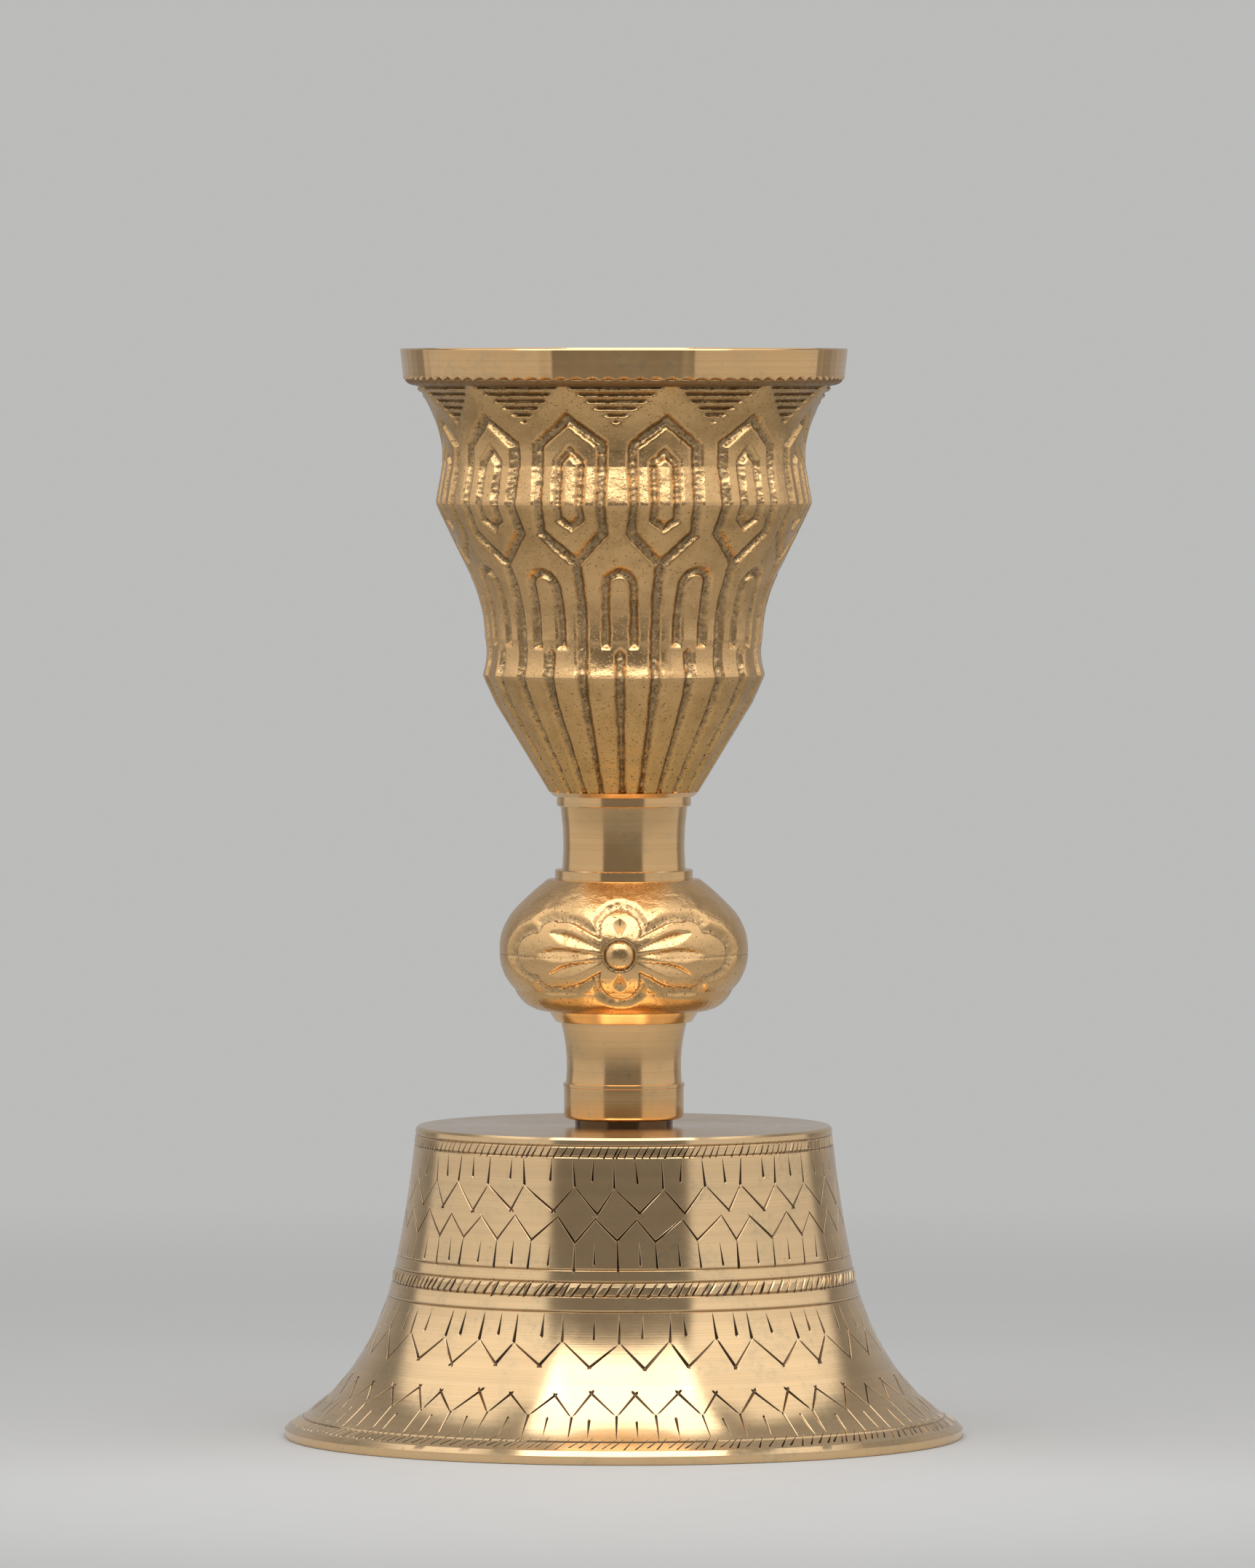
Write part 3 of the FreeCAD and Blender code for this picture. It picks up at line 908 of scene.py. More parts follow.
def engraved_strokes(sizes):
    hand = Hand(engraving_seed)
    width = sizes.stroke_width / MM
    strokes = chevrons(hand, *upper_chevrons, width)
    strokes += upright_chevrons(hand, *upper_peaks, width, False)
    strokes += chevrons(hand, *lower_chevrons, width * 1.25)
    strokes += upright_chevrons(hand, *lower_peaks, width * 1.1, True)
    for band in hatch_bands:
        strokes += hatching(hand, *band)
    return strokes


class FlatBase:
    """The base's outside laid flat. Across is the way round at a set radius, and up is the length along
    the outline from its brim."""

    flat_radius = 30

    def __init__(self):
        outline = Outline(base_brim_radius - base_brim_bevel, base_brim_height + base_brim_bevel, row=0.1)
        outline.walk(
            (base_knee_radius, base_knee_height, -base_knee_hollows[0]),
            (base_bend_radius, base_bend_height, -base_knee_hollows[1]),
            (base_top_radius, base_top - base_top_chamfer, -base_side_hollow),
        )
        points = np.array(outline.points)
        ways = np.diff(points, axis=0)
        self.radii, self.heights = points.T
        self.ups = np.concatenate([[0], np.cumsum(np.hypot(*ways.T))])
        slopes = np.gradient(self.radii, self.ups), np.gradient(self.heights, self.ups)
        self.outs = np.column_stack([slopes[1], -slopes[0]])
        self.length = self.ups[-1]

    def up(self, height):
        return np.interp(height, self.heights, self.ups)

    def radius(self, up):
        return np.interp(up, self.ups, self.radii)

    def height(self, up):
        return np.interp(up, self.ups, self.heights)

    def out(self, up):
        """The way out of the metal, as its shares along the radius and up."""
        return np.interp(up, self.ups, self.outs[:, 0]), np.interp(up, self.ups, self.outs[:, 1])


class Stroke:
    """One cut of a graver, from a hairline to its deep, blunt end, on the flat base."""

    def __init__(self, flat, turn_a, height_a, turn_b, height_b, width, lead):
        self.start = np.array([turn_a * flat.flat_radius, flat.up(height_a)])
        end = np.array([turn_b * flat.flat_radius, flat.up(height_b)])
        self.squeeze = flat.flat_radius / flat.radius((self.start[1] + end[1]) / 2)
        self.shape = np.array([self.squeeze, 1])
        way = (end - self.start) / self.shape
        self.length = math.hypot(*way)
        self.way = way / self.length
        self.across = np.array([-self.way[1], self.way[0]])
        self.half = width / 2
        self.cap = width * stroke_cap
        self.lead = lead

    def half_at(self, along):
        """Half the cut's width that far along it."""
        runs = (0, self.length * stroke_entry, self.length, self.length + self.cap)
        return np.interp(along, runs, (0, self.half * self.lead, self.half, 0))

    def corners(self):
        """Six corners of the outline from the hairline end round, then two along the deepest line."""
        entry = self.length * stroke_entry
        narrow = self.half * self.lead
        places_along = (
            (0, 0),
            (entry, -narrow),
            (self.length, -self.half),
            (self.length + self.cap, 0),
            (self.length, self.half),
            (entry, narrow),
            (entry, 0),
            (self.length, 0),
        )
        return [
            self.start + (self.way * along + self.across * sideways) * self.shape
            for along, sideways in places_along
        ]

    def depth(self, across, up):
        """The cut's depth as a share at each place."""
        x = (across - self.start[0]) / self.squeeze
        y = up - self.start[1]
        along = x * self.way[0] + y * self.way[1]
        sideways = np.abs(x * self.across[0] + y * self.across[1])
        inside = (along > 0) & (along < self.length + self.cap)
        return np.where(inside, np.clip((self.half_at(along) - sideways) / self.half, 0, 1), 0)


def engraved_skin(sizes):
    """The base's outside as a bmesh, cut into triangles along every stroke and sunk into them. Its layer
    "plain" is 1 where nothing is cut."""
    flat = FlatBase()
    columns = sizes.base_columns
    half_way = math.pi * flat.flat_radius
    unit = 2 * half_way / columns
    margin = skin_overlap_columns
    rows = set(np.linspace(0, flat.length, math.ceil(flat.length / flat_row) + 1).round(4))
    line_ups = [float(flat.up(height)) for height in turned_lines]
    cut_rows = [up + side * turned_line_half_width for up in line_ups for side in (-1, 0, 1)]
    rows = {up for up in rows if min(abs(up - cut) for cut in cut_rows) > least_row}
    rows = sorted(rows | set(cut_rows))
    across = [unit * column - half_way for column in range(-margin, columns + margin + 1)]
    verts = [(x, up) for up in rows for x in across]
    edges = []
    wide = len(across)
    for row, up in enumerate(rows):
        if up in cut_rows:
            edges += [(row * wide + column, row * wide + column + 1) for column in range(wide - 1)]
    for column in (margin, margin + columns):
        edges += [(row * wide + column, (row + 1) * wide + column) for row in range(len(rows) - 1)]
    strokes = []
    for turn_a, height_a, turn_b, height_b, width, lead in engraved_strokes(sizes):
        back = TURN * round((turn_a + turn_b) / 2 / TURN)
        for lap in (-TURN, 0, TURN):
            stroke = Stroke(flat, turn_a - back + lap, height_a, turn_b - back + lap, height_b, width, lead)
            if min(abs(corner[0]) for corner in stroke.corners()) < half_way + stroke_overlap:
                strokes.append(stroke)
    for stroke in strokes:
        first = len(verts)
        verts += [tuple(corner) for corner in stroke.corners()]
        edges += [(first + a, first + b) for a, b in stroke_edges]
    made = delaunay_2d_cdt([Vector(vert) for vert in verts], edges, [], 0, 1e-5, False)
    places_flat = np.array([tuple(vert) for vert in made[0]])
    across, up = places_flat.T
    lines = np.zeros(len(across))
    for line_up in line_ups:
        lines = np.maximum(lines, 1 - np.abs(up - line_up) / turned_line_half_width)
    depth = turned_line_depth * lines
    cuts = np.zeros(len(across))
    order = np.argsort(across)
    ordered = across[order]
    for stroke in strokes:
        corners = np.array(stroke.corners())
        first, last = np.searchsorted(ordered, (corners[:, 0].min() - 0.001, corners[:, 0].max() + 0.001))
        near = order[first:last]
        cut = stroke.depth(across[near], up[near])
        cuts[near] = np.maximum(cuts[near], cut)
    depth = np.maximum(depth, sizes.stroke_depth / MM * cuts)
    # The turned lines are darkened a little across their width.
    cuts = np.maximum(cuts, turned_line_darkening * lines)
    height = flat.height(up)
    low, high = rope_band
    bead = np.clip(1 - ((height - (low + high) / 2) / ((high - low) / 2)) ** 2, 0, 1)
    out_radius, out_height = flat.out(up)
    radius = flat.radius(up) + out_radius * (rope_rise * bead - depth)
    height = height + out_height * (rope_rise * bead - depth)
    turn = across / flat.flat_radius
    bm = bmesh.new()
    plain = bm.verts.layers.float.new("plain")
    grime_and_shade = bm.verts.layers.float.new("grime_and_shade")
    new_verts = []
    round_skin = np.column_stack([radius * np.sin(turn), -radius * np.cos(turn), height])
    for place_now, raised, cut in zip(round_skin, depth + bead, cuts):
        vertex = bm.verts.new(place_now)
        vertex[plain] = float(raised < least_cut)
        vertex[grime_and_shade] = float(cut)
        new_verts.append(vertex)
    for face in made[2]:
        if abs(sum(across[index] for index in face) / len(face)) < half_way:
            bm.faces.new([new_verts[index] for index in face])
    loose = [vertex for vertex in bm.verts if not vertex.link_faces]
    bmesh.ops.delete(bm, geom=loose, context="VERTS")
    return bm, flat


def base_mesh(sizes):
    """The whole base: its engraved outside, joined to the top, the wall inside and the foot."""
    bm, flat = engraved_skin(sizes)
    top = Outline(base_top_radius, base_top - base_top_chamfer)
    top.arc(base_top_radius - base_top_chamfer, base_top)
    for share in (0.8, 0.6, 0.4):
        top.arc(base_top_radius * share, base_top)
    top.walk(
        (sleeve_bore, base_top),
        (sleeve_bore, washer_top),
        (base_top_radius - base_wall - base_bore_corner, washer_top),
        (base_top_radius - base_wall, washer_top - base_bore_corner, -base_bore_hollow),
        (base_bend_radius - base_wall, base_bend_height),
        (base_brim_radius - base_foot_bevel - base_foot_width, 0, base_flare_hollow),
        (base_brim_radius - base_foot_bevel, 0),
        (base_brim_radius, base_brim_height),
        (base_brim_radius - base_brim_bevel, base_brim_height + base_brim_bevel),
    )
    rest = mesh_of(spun(top, sizes.base_columns, closed=False), "rest")
    bm.from_mesh(rest)
    bpy.data.meshes.remove(rest)
    bmesh.ops.remove_doubles(bm, verts=bm.verts, dist=joint_distance)
    bmesh.ops.recalc_face_normals(bm, faces=bm.faces)
    return mesh_of(bm, "base_engraved"), flat


def shade_engraving(piece, flat):
    """Gives the plain turned surface its true normals, and leaves every cut's facets flat."""
    mesh = piece.data
    points = places(mesh) / MM
    plain = values_of(mesh, "plain") > 0.5
    out_radius, out_height = flat.out(flat.up(points[:, 2]))
    ways_out = points[:, :2] / round_places(points)[0][:, None] * out_radius[:, None]
    normals = np.column_stack([ways_out, out_height])
    normals[~plain] = 0
    ends = np.empty(len(mesh.loops), int)
    mesh.loops.foreach_get("vertex_index", ends)
    corners = normals[ends]
    skin_foot = base_brim_height + base_brim_bevel - hair
    for polygon in mesh.polygons:
        loops = slice(polygon.loop_start, polygon.loop_start + polygon.loop_total)
        if not plain[ends[loops]].all():
            corners[loops] = 0
            if abs(polygon.normal.z) < steep_enough and points[ends[loops], 2].min() > skin_foot:
                polygon.use_smooth = polygon.loop_total > 3
    mesh.normals_split_custom_set([tuple(corner) for corner in corners])


def threaded_rod_mesh(sizes):
    """The rod with its helical thread, cut square at both ends and bevelled there."""
    pitch = sizes.thread_pitch / MM
    root = rod_radius - thread_depth
    turns = math.ceil((rod_head - rod_foot) / pitch) + 2
    bm = bmesh.new()
    radii = (root, root, rod_radius, rod_radius, root)
    heights = [rod_foot - pitch + share * pitch for share in tooth_shares]
    ring = [bm.verts.new((radius, 0, height)) for radius, height in zip(radii, heights)]
    edges = [bm.edges.new(pair) for pair in zip(ring, ring[1:])]
    bmesh.ops.spin(
        bm,
        geom=ring + edges,
        cent=(0, 0, 0),
        axis=(0, 0, 1),
        dvec=(0, 0, pitch / thread_steps),
        angle=TURN * turns,
        steps=thread_steps * turns,
        use_merge=False,
    )
    bmesh.ops.remove_doubles(bm, verts=bm.verts, dist=joint_distance)
    for level, way in ((rod_foot, -1), (rod_head, 1)):
        cut = bmesh.ops.bisect_plane(
            bm,
            geom=bm.verts[:] + bm.edges[:] + bm.faces[:],
            plane_co=(0, 0, level),
            plane_no=(0, 0, way),
            clear_outer=True,
        )
        rim = [item for item in cut["geom_cut"] if isinstance(item, bmesh.types.BMEdge)]
        bmesh.ops.holes_fill(bm, edges=rim, sides=0)
    bmesh.ops.recalc_face_normals(bm, faces=bm.faces)
    for vertex in bm.verts:
        end_gap = min(vertex.co.z - rod_foot, rod_head - vertex.co.z)
        most = rod_radius - max(0, rod_chamfer - end_gap)
        radius = vertex.co.xy.length
        if radius > most:
            vertex.co.xy *= most / radius
    return mesh_of(bm, "thread")


class Finish:
    """The nodes of a material or of the world, with a short way to add one and join it to the others."""

    def __init__(self, owner):
        owner.use_nodes = True
        self.nodes = owner.node_tree.nodes
        self.links = owner.node_tree.links

    def add(self, kind, inputs=None, **settings):
        node = self.nodes.new(kind)
        for name, value in settings.items():
            setattr(node, name, value)
        self.join(node, inputs or {})
        return node

    def join(self, node, inputs):
        for name, value in inputs.items():
            self.feed(node.inputs[name], value)

    def feed(self, socket, value):
        if isinstance(value, bpy.types.NodeSocket):
            self.links.new(value, socket)
        else:
            socket.default_value = value

    def maths(self, operation, first, second=0.0):
        return self.add("ShaderNodeMath", {0: first, 1: second}, operation=operation).outputs[0]

    def times(self, first, second):
        return self.maths("MULTIPLY", first, second)

    def plus(self, first, second):
        return self.maths("ADD", first, second)

    def noise(self, place_now, scale, detail=2.0, roughness=0.5):
        inputs = {"Vector": place_now, "Scale": scale, "Detail": detail, "Roughness": roughness}
        return self.add("ShaderNodeTexNoise", inputs).outputs["Fac"]

    def span(self, value, low, high, new_low, new_high):
        """The value's place between low and high, carried over to lie between new_low and new_high."""
        inputs = {0: value, 1: low, 2: high, 3: new_low, 4: new_high}
        return self.add("ShaderNodeMapRange", inputs, clamp=True).outputs[0]

    def blend(self, share, first, second):
        node = self.add("ShaderNodeMix", data_type="RGBA")
        self.join(node, {"Factor": share, 6: first, 7: second})
        return node.outputs[2]

    def coordinates(self, kind):
        return self.add("ShaderNodeTexCoord").outputs[kind]

    def parts(self, vector):
        return self.add("ShaderNodeSeparateXYZ", {0: vector}).outputs

    def grime_and_shade(self):
        return self.add("ShaderNodeAttribute", attribute_name="grime_and_shade").outputs["Fac"]

    def camera_ray(self):
        return self.add("ShaderNodeLightPath").outputs["Is Camera Ray"]

    def bump(self, height, distance, under=None):
        inputs = {"Height": height, "Distance": distance}
        if under:
            inputs["Normal"] = under
        return self.add("ShaderNodeBump", inputs).outputs["Normal"]

    def surface(self, colour, roughness, **inputs):
        """Sets the Principled shader, whose sockets' names are given with _ for each space."""
        named = {name.replace("_", " "): value for name, value in inputs.items()}
        self.join(self.nodes["Principled BSDF"], {"Base Color": colour, "Roughness": roughness, **named})


# Heights above a ridge, or above the bowl's foot, where the painted shade starts and where it is full
shade_under_lower_ridge = (0.1, -0.6)
shade_up_middle_tier = (-15, -3)
shade_under_upper_ridge = (0, -0.7)
shade_up_flare = (4.2, 8.5)
shade_above_foot = (-0.1, 1.6)
warm_taper = (bowl_bottom + 0.3, lower_ridge_level + 0.4)
warm_belly = (equator - 1.5, bulb_foot + 0.5)


def opaque(colour, share=1.0):
    return (*(channel * share for channel in colour), 1)


def material_named(name, paint, *values):
    """The material of that name, whose nodes paint makes when it is first asked for."""
    if name not in bpy.data.materials:
        paint(Finish(bpy.data.materials.new(name)), *values)
    return bpy.data.materials[name]


def stem_brass(looks):
    return material_named("stem brass", turned_brass, looks, looks.stem_brass)


def turned_brass(finish, looks, metal):
    """Brass from the lathe: fine feed lines round the axis, and a reflection drawn out across them."""
    place_now = finish.coordinates("Object")
    x, y, up = finish.parts(place_now)
    radius = finish.maths("SQRT", finish.plus(finish.times(x, x), finish.times(y, y)))
    section = finish.add("ShaderNodeCombineXYZ", {0: radius, 2: up}).outputs[0]
    feed = finish.noise(section, 5200, 3.0, 0.65)
    wide_feed = finish.noise(section, 900)
    handled = finish.noise(place_now, 190, 3.0, 0.6)
    spots = finish.noise(place_now, 1500, 3.0, 0.6)
    colour = finish.blend(finish.span(wide_feed, 0.3, 0.7, 0, 1), opaque(metal), opaque(metal, 0.9))
    colour = finish.blend(finish.span(feed, 0.45, 0.7, 0, 0.3), colour, opaque(metal, 0.6))
    clouds = finish.times(finish.span(handled, 0.5, 0.62, 0, 1), finish.span(spots, 0.45, 0.6, 0.1, 0.4))
    colour = finish.blend(clouds, colour, opaque(looks.dulled_brass))
    spot = finish.times(finish.span(spots, 0.66, 0.76, 0, 1), 0.35)
    colour = finish.blend(spot, colour, opaque(looks.tarnish))
    # Dark strokes, soot in the wick socket, and painted shade in the gap under the ferrule.
    colour = finish.blend(finish.span(finish.grime_and_shade(), 0.02, 0.35, 0, 0.95), colour, opaque(looks.cuts))
    finish.surface(
        colour,
        finish.plus(finish.span(feed, 0.2, 0.8, 0.1, 0.19), finish.span(handled, 0.3, 0.75, 0, 0.07)),
        Metallic=1,
        Anisotropic=0.7,
        Anisotropic_Rotation=0.25,
        Tangent=finish.add("ShaderNodeTangent", direction_type="RADIAL", axis="Z").outputs[0],
        Normal=finish.bump(feed, 0.0000045, finish.bump(wide_feed, 0.00001)),
    )


def painted_shade_zones(finish, up):
    """Where shade is painted on the bowl: under its lower ridge, under its upper ridge and up its flare."""

    def rising(level, start, full):
        return finish.span(up, (level + start) * MM, (level + full) * MM, 0, 1)

    up_middle_tier = rising(upper_ridge_level, *shade_up_middle_tier)
    under_upper_ridge = finish.times(up_middle_tier, rising(upper_ridge_level, *shade_under_upper_ridge))
    under_lower_ridge = rising(lower_ridge_level, *shade_under_lower_ridge)
    painted_shade = finish.maths("MAXIMUM", under_lower_ridge, under_upper_ridge)
    painted_shade = finish.maths("MAXIMUM", painted_shade, rising(upper_ridge_level, *shade_up_flare))
    return finish.times(painted_shade, rising(bowl_foot, *shade_above_foot))


def cast_brass(finish, looks):
    """Brass from the sand: pits, low bumps, brown spots, painted shade below the ridges, and dull residue
    with painted shade in the grooves.
    """
    place_now = finish.coordinates("Object")
    up = finish.parts(place_now)[2]
    grime_and_shade = finish.grime_and_shade()
    sand = finish.noise(place_now, 3600, 3.0, 0.6)
    lumps = finish.noise(place_now, 700)
    stains = finish.noise(place_now, 330, 4.0, 0.65)
    # Painted shade: darker brass under both ridges and up the flare, mottled by stains, with more pits and
    # darker grooves there.
    painted_shade = painted_shade_zones(finish, up)
    specks = finish.plus(finish.noise(place_now, 4000, 2.0, 0.6), finish.times(painted_shade, 0.012))
    specks = finish.plus(specks, finish.span(grime_and_shade, 0.2, 0.8, 0, 0.05))
    pits = finish.span(specks, 0.64, 0.72, 0, 1)
    low_taper = finish.span(up, *(level * MM for level in warm_taper), 0.85, 0.15)
    low_belly = finish.span(up, *(level * MM for level in warm_belly), 0, 0.5)
    warm = finish.maths("MAXIMUM", finish.times(low_taper, painted_shade), low_belly)
    clouded = finish.times(painted_shade, finish.span(stains, 0.3, 0.65, 0.35, 0.85))
    colour = finish.blend(clouded, opaque(looks.cast_brass), opaque(looks.shaded_brass))
    colour = finish.blend(warm, colour, opaque(looks.warm_brass))
    colour = finish.blend(finish.span(stains, 0.5, 0.75, 0, 0.26), colour, opaque(looks.tarnish))
    # Residue and painted shade in the grooves, made uneven by the sand noise.
    uneven_grime_and_shade = finish.plus(grime_and_shade, finish.times(finish.maths("SUBTRACT", sand, 0.5), 0.5))
    dirt_and_shade = finish.span(uneven_grime_and_shade, 0.25, 0.95, 0, 1)
    groove = finish.blend(painted_shade, opaque(looks.grooves), opaque(looks.grooves, 0.72))
    colour = finish.blend(dirt_and_shade, colour, groove)
    colour = finish.blend(finish.times(pits, 0.75), colour, opaque(looks.tarnish, 0.4))
    colour = finish.blend(finish.span(uneven_grime_and_shade, 1.15, 1.8, 0, 0.8), colour, opaque(looks.tarnish))
    roughness = finish.plus(finish.span(lumps, 0.3, 0.7, 0.18, 0.27), finish.span(dirt_and_shade, 0, 1, 0, 0.2))
    normal = finish.bump(sand, 0.000022, finish.bump(lumps, 0.000045))
    finish.surface(
        colour,
        finish.plus(roughness, finish.times(pits, 0.2)),
        Metallic=1,
        Normal=finish.bump(finish.maths("SUBTRACT", 1.0, pits), 0.00004, normal),
    )


def plated_steel(finish, looks):
    """Zinc on steel: pale, a little cloudy, with faint tumbling marks."""
    place_now = finish.coordinates("Object")
    clouds = finish.noise(place_now, 420, 4.0, 0.6)
    marks = finish.noise(place_now, 2600, 2.0, 0.6)
    zinc = opaque(looks.plated_steel), opaque(looks.plated_steel, 0.72)
    finish.surface(
        finish.blend(finish.span(clouds, 0.35, 0.7, 0, 1), *zinc),
        finish.span(clouds, 0.3, 0.7, 0.24, 0.42),
        Metallic=1,
        Normal=finish.bump(marks, 0.000012),
    )


def length_property(name, description, default):
    return bpy.props.FloatProperty(
        name=name, description=description, default=default * MM, unit="LENGTH", precision=5
    )


def count_property(name, description, default, least):
    return bpy.props.IntProperty(name=name, description=description, default=default, min=least)


def colour_property(name, description, default):
    return bpy.props.FloatVectorProperty(
        name=name, description=description, default=default, subtype="COLOR", size=3, min=0, max=1
    )


class LampSizes(bpy.types.PropertyGroup):
    """Sizes of the lamp's relief, engraving and thread."""

    channel_depth: length_property("Channel depth", "Depth of the bowl's cast channels", 0.58)
    channel_wall: length_property("Channel wall", "Width of the slope beside a channel", 0.7)
    flower_depth: length_property("Flower depth", "Depth of the channel round the knop's flower", 0.5)
    flower_channel: length_property("Flower channel", "Width of the channel round the flower", 1.3)
    rim_ripples: count_property("Rim ripples", "Waves in the rim band's lower edge", 88, 0)
    base_columns: count_property("Base columns", "Faces round the base, a multiple of eight", 360, 90)
    stroke_width: length_property("Stroke width", "Width of a graver's stroke at its blunt end", 0.33)
    stroke_depth: length_property("Stroke depth", "Depth of a graver's stroke at its blunt end", 0.13)
    thread_pitch: length_property("Thread pitch", "Rise of the rod's thread in one turn", 1)


class LampLooks(bpy.types.PropertyGroup):
    """Colours of the lamp and its stage."""

    base_brass: colour_property("Base brass", "Pale metal of the turned base", (0.85, 0.59, 0.325))
    stem_brass: colour_property("Stem brass", "Metal of the necks, rim and bowl inside", (0.87, 0.55, 0.26))
    cast_brass: colour_property("Cast brass", "Tumbled metal on the cast faces", (0.77, 0.485, 0.225))
    # This colour is painted shade, laid below the ridges and up the flare.
    shaded_brass: colour_property("Browned brass", "Browned metal below the ridges", (0.46, 0.29, 0.125))
    warm_brass: colour_property("Warm brass", "Orange-brown metal low on taper and knop", (0.58, 0.33, 0.10))
    dulled_brass: colour_property("Dulled brass", "Grey-green clouds on turned faces", (0.50, 0.42, 0.26))
    tarnish: colour_property("Tarnish", "Brown stains and specks", (0.30, 0.16, 0.06))
    # This dark colour also paints shade into the gap under the ferrule.
    cuts: colour_property("Cuts", "Dark metal and old polish in the strokes", (0.10, 0.06, 0.035))
    # This colour is dull residue and painted shade, darkest at the channels' bottoms.
    grooves: colour_property("Grooves", "Dull, rough metal down in the channels", (0.42, 0.30, 0.165))
    plated_steel: colour_property("Plated steel", "Zinc on the rod, washer and nut", (0.60, 0.60, 0.58))
    floor: colour_property("Floor", "Table under the lamp", (0.58, 0.58, 0.575))
    backdrop: colour_property("Backdrop", "Plain room behind the lamp", (0.5, 0.5, 0.495))


class LAMP_OT_bowl(bpy.types.Operator):
    """Build the bowl: three cast tiers with their relief, and all that the lathe cut"""

    bl_idname = "lamp.bowl"
    bl_label = "Bowl"
    bl_options = {"REGISTER", "UNDO"}

    def execute(self, context):
        sizes, looks = context.scene.lamp_sizes, context.scene.lamp_looks
        foot = (bowl_bottom_radius + bowl_bottom_bevel, bowl_bottom + bowl_bottom_bevel)
        tiers = (
            ("bowl_taper", draw_taper, foot, taper_row),
            ("bowl_middle_tier", draw_middle_tier, (lower_ridge_radius, lower_ridge_level), middle_row),
            ("bowl_upper_tier", draw_upper_tier, (upper_ridge_radius, upper_ridge_level), upper_row),
        )
        metal = material_named("cast brass", cast_brass, looks)
        for name, draw, tier_foot, row in tiers:
            mesh = mesh_of(cast_tier(draw, tier_foot, row), name)
            carve_bowl(mesh, sizes)
            place(name, mesh, metal, "cast_brass", "bowl", "bowl", crease=cast_crease)
        mesh = mesh_of(spun(bowl_turning_outline(), bowl_columns), "bowl_turning")
        ripple_rim(mesh, sizes)
        soot_socket(mesh)
        place("bowl_turning", mesh, stem_brass(looks), "turned_brass", "bowl", "bowl")
        return {"FINISHED"}


class LAMP_OT_knop(bpy.types.Operator):
    """Build the knop: a cast bulb with its flowers, between two turned collars"""

    bl_idname = "lamp.knop"
    bl_label = "Knop"
    bl_options = {"REGISTER", "UNDO"}

    def execute(self, context):
        sizes, looks = context.scene.lamp_sizes, context.scene.lamp_looks
        outline, shown = bulb_outline()
        mesh = mesh_of(spun(outline, bulb_columns, shown), "knop_bulb")
        carve_knop(mesh, sizes)
        metal = material_named("cast brass", cast_brass, looks)
        place("knop_bulb", mesh, metal, "cast_brass", "stand", "knop", crease=cast_crease)
        mesh = mesh_of(spun(collars_outline(), sleeve_columns), "knop_collars")
        place("knop_collars", mesh, stem_brass(looks), "turned_brass", "stand", "knop")
        return {"FINISHED"}


class LAMP_OT_necks(bpy.types.Operator):
    """Build the turned sleeves below and above the knop"""

    bl_idname = "lamp.necks"
    bl_label = "Necks"
    bl_options = {"REGISTER", "UNDO"}

    def execute(self, context):
        metal = stem_brass(context.scene.lamp_looks)
        for node, outline in (("lower_neck", lower_neck_outline()), ("upper_neck", upper_neck_outline())):
            mesh = mesh_of(spun(outline, sleeve_columns), node + "_turned")
            # Painted shade darkens the spigot in the gap under the ferrule.
            shade_spigot_gap(mesh)
            place(node + "_turned", mesh, metal, "turned_brass", "stand", node)
        return {"FINISHED"}


class LAMP_OT_base(bpy.types.Operator):
    """Build the bell-shaped base with its hand engraving"""

    bl_idname = "lamp.base"
    bl_label = "Base"
    bl_options = {"REGISTER", "UNDO"}

    def execute(self, context):
        sizes, looks = context.scene.lamp_sizes, context.scene.lamp_looks
        mesh, flat = base_mesh(sizes)
        metal = material_named("base brass", turned_brass, looks, looks.base_brass)
        piece = place("base_engraved", mesh, metal, "turned_brass", "stand", "base", crease=engraving_crease)
        shade_engraving(piece, flat)
        return {"FINISHED"}


class LAMP_OT_fasteners(bpy.types.Operator):
    """Build the threaded rod, and finish the washer and the nut"""

    bl_idname = "lamp.fasteners"
    bl_label = "Rod, washer and nut"
    bl_options = {"REGISTER", "UNDO"}

    def execute(self, context):
        metal = material_named("plated steel", plated_steel, context.scene.lamp_looks)
        mesh = threaded_rod_mesh(context.scene.lamp_sizes)
        place("threaded_rod", mesh, metal, "plated_steel", "stand", "tie_rod")
        for node in ("washer", "nut"):
            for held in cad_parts[node].material_slots:
                held.material = metal
        return {"FINISHED"}


class LAMP_OT_stage(bpy.types.Operator):
    """Set the floor, the soft light and the camera"""

    bl_idname = "lamp.stage"
    bl_label = "Stage"
    bl_options = {"REGISTER", "UNDO"}

    def execute(self, context):
        looks = context.scene.lamp_looks
        lay_floor(looks)
        hang_soft_box()
        light_world(looks)
        set_camera()
        context.scene.view_settings.view_transform = "Standard"
        return {"FINISHED"}


# Stage, in metres
floor_radius = 0.4
floor_drop = 0.00005
floor_fade = (0.13, 0.37)
box_width = 0.18
box_front = (-0.155, 0.152)
box_back = (0.04, 0.292)
box_strength = 2.1
camera_azimuth = math.radians(2)
camera_distance = 1.44
camera_height = 0.1248
camera_aim = (0.0004, 0, 0.072)
camera_lens = 300

# Light from the room: its angles in degrees, and its strength in front, beside and behind
panel_edges = (36, 39)
panel_ends = (121, 127)
panel_tops = (62, 70)
behind_start = (121, 150)
panel_rise = (0, 38)
panel_levels = (0.62, 1.18)
front_level = 0.2
behind_level = 0.2


def lay_floor(looks):
    bm = bmesh.new()
    below = Matrix.Translation((0, 0, -floor_drop))
    bmesh.ops.create_circle(bm, cap_ends=True, segments=128, radius=floor_radius, matrix=below)
    mesh = bpy.data.meshes.new("floor")
    bm.to_mesh(mesh)
    bm.free()
    mesh.materials.append(material_named("floor", floor_paper, looks))
    floor = put_in_scene("floor", mesh)


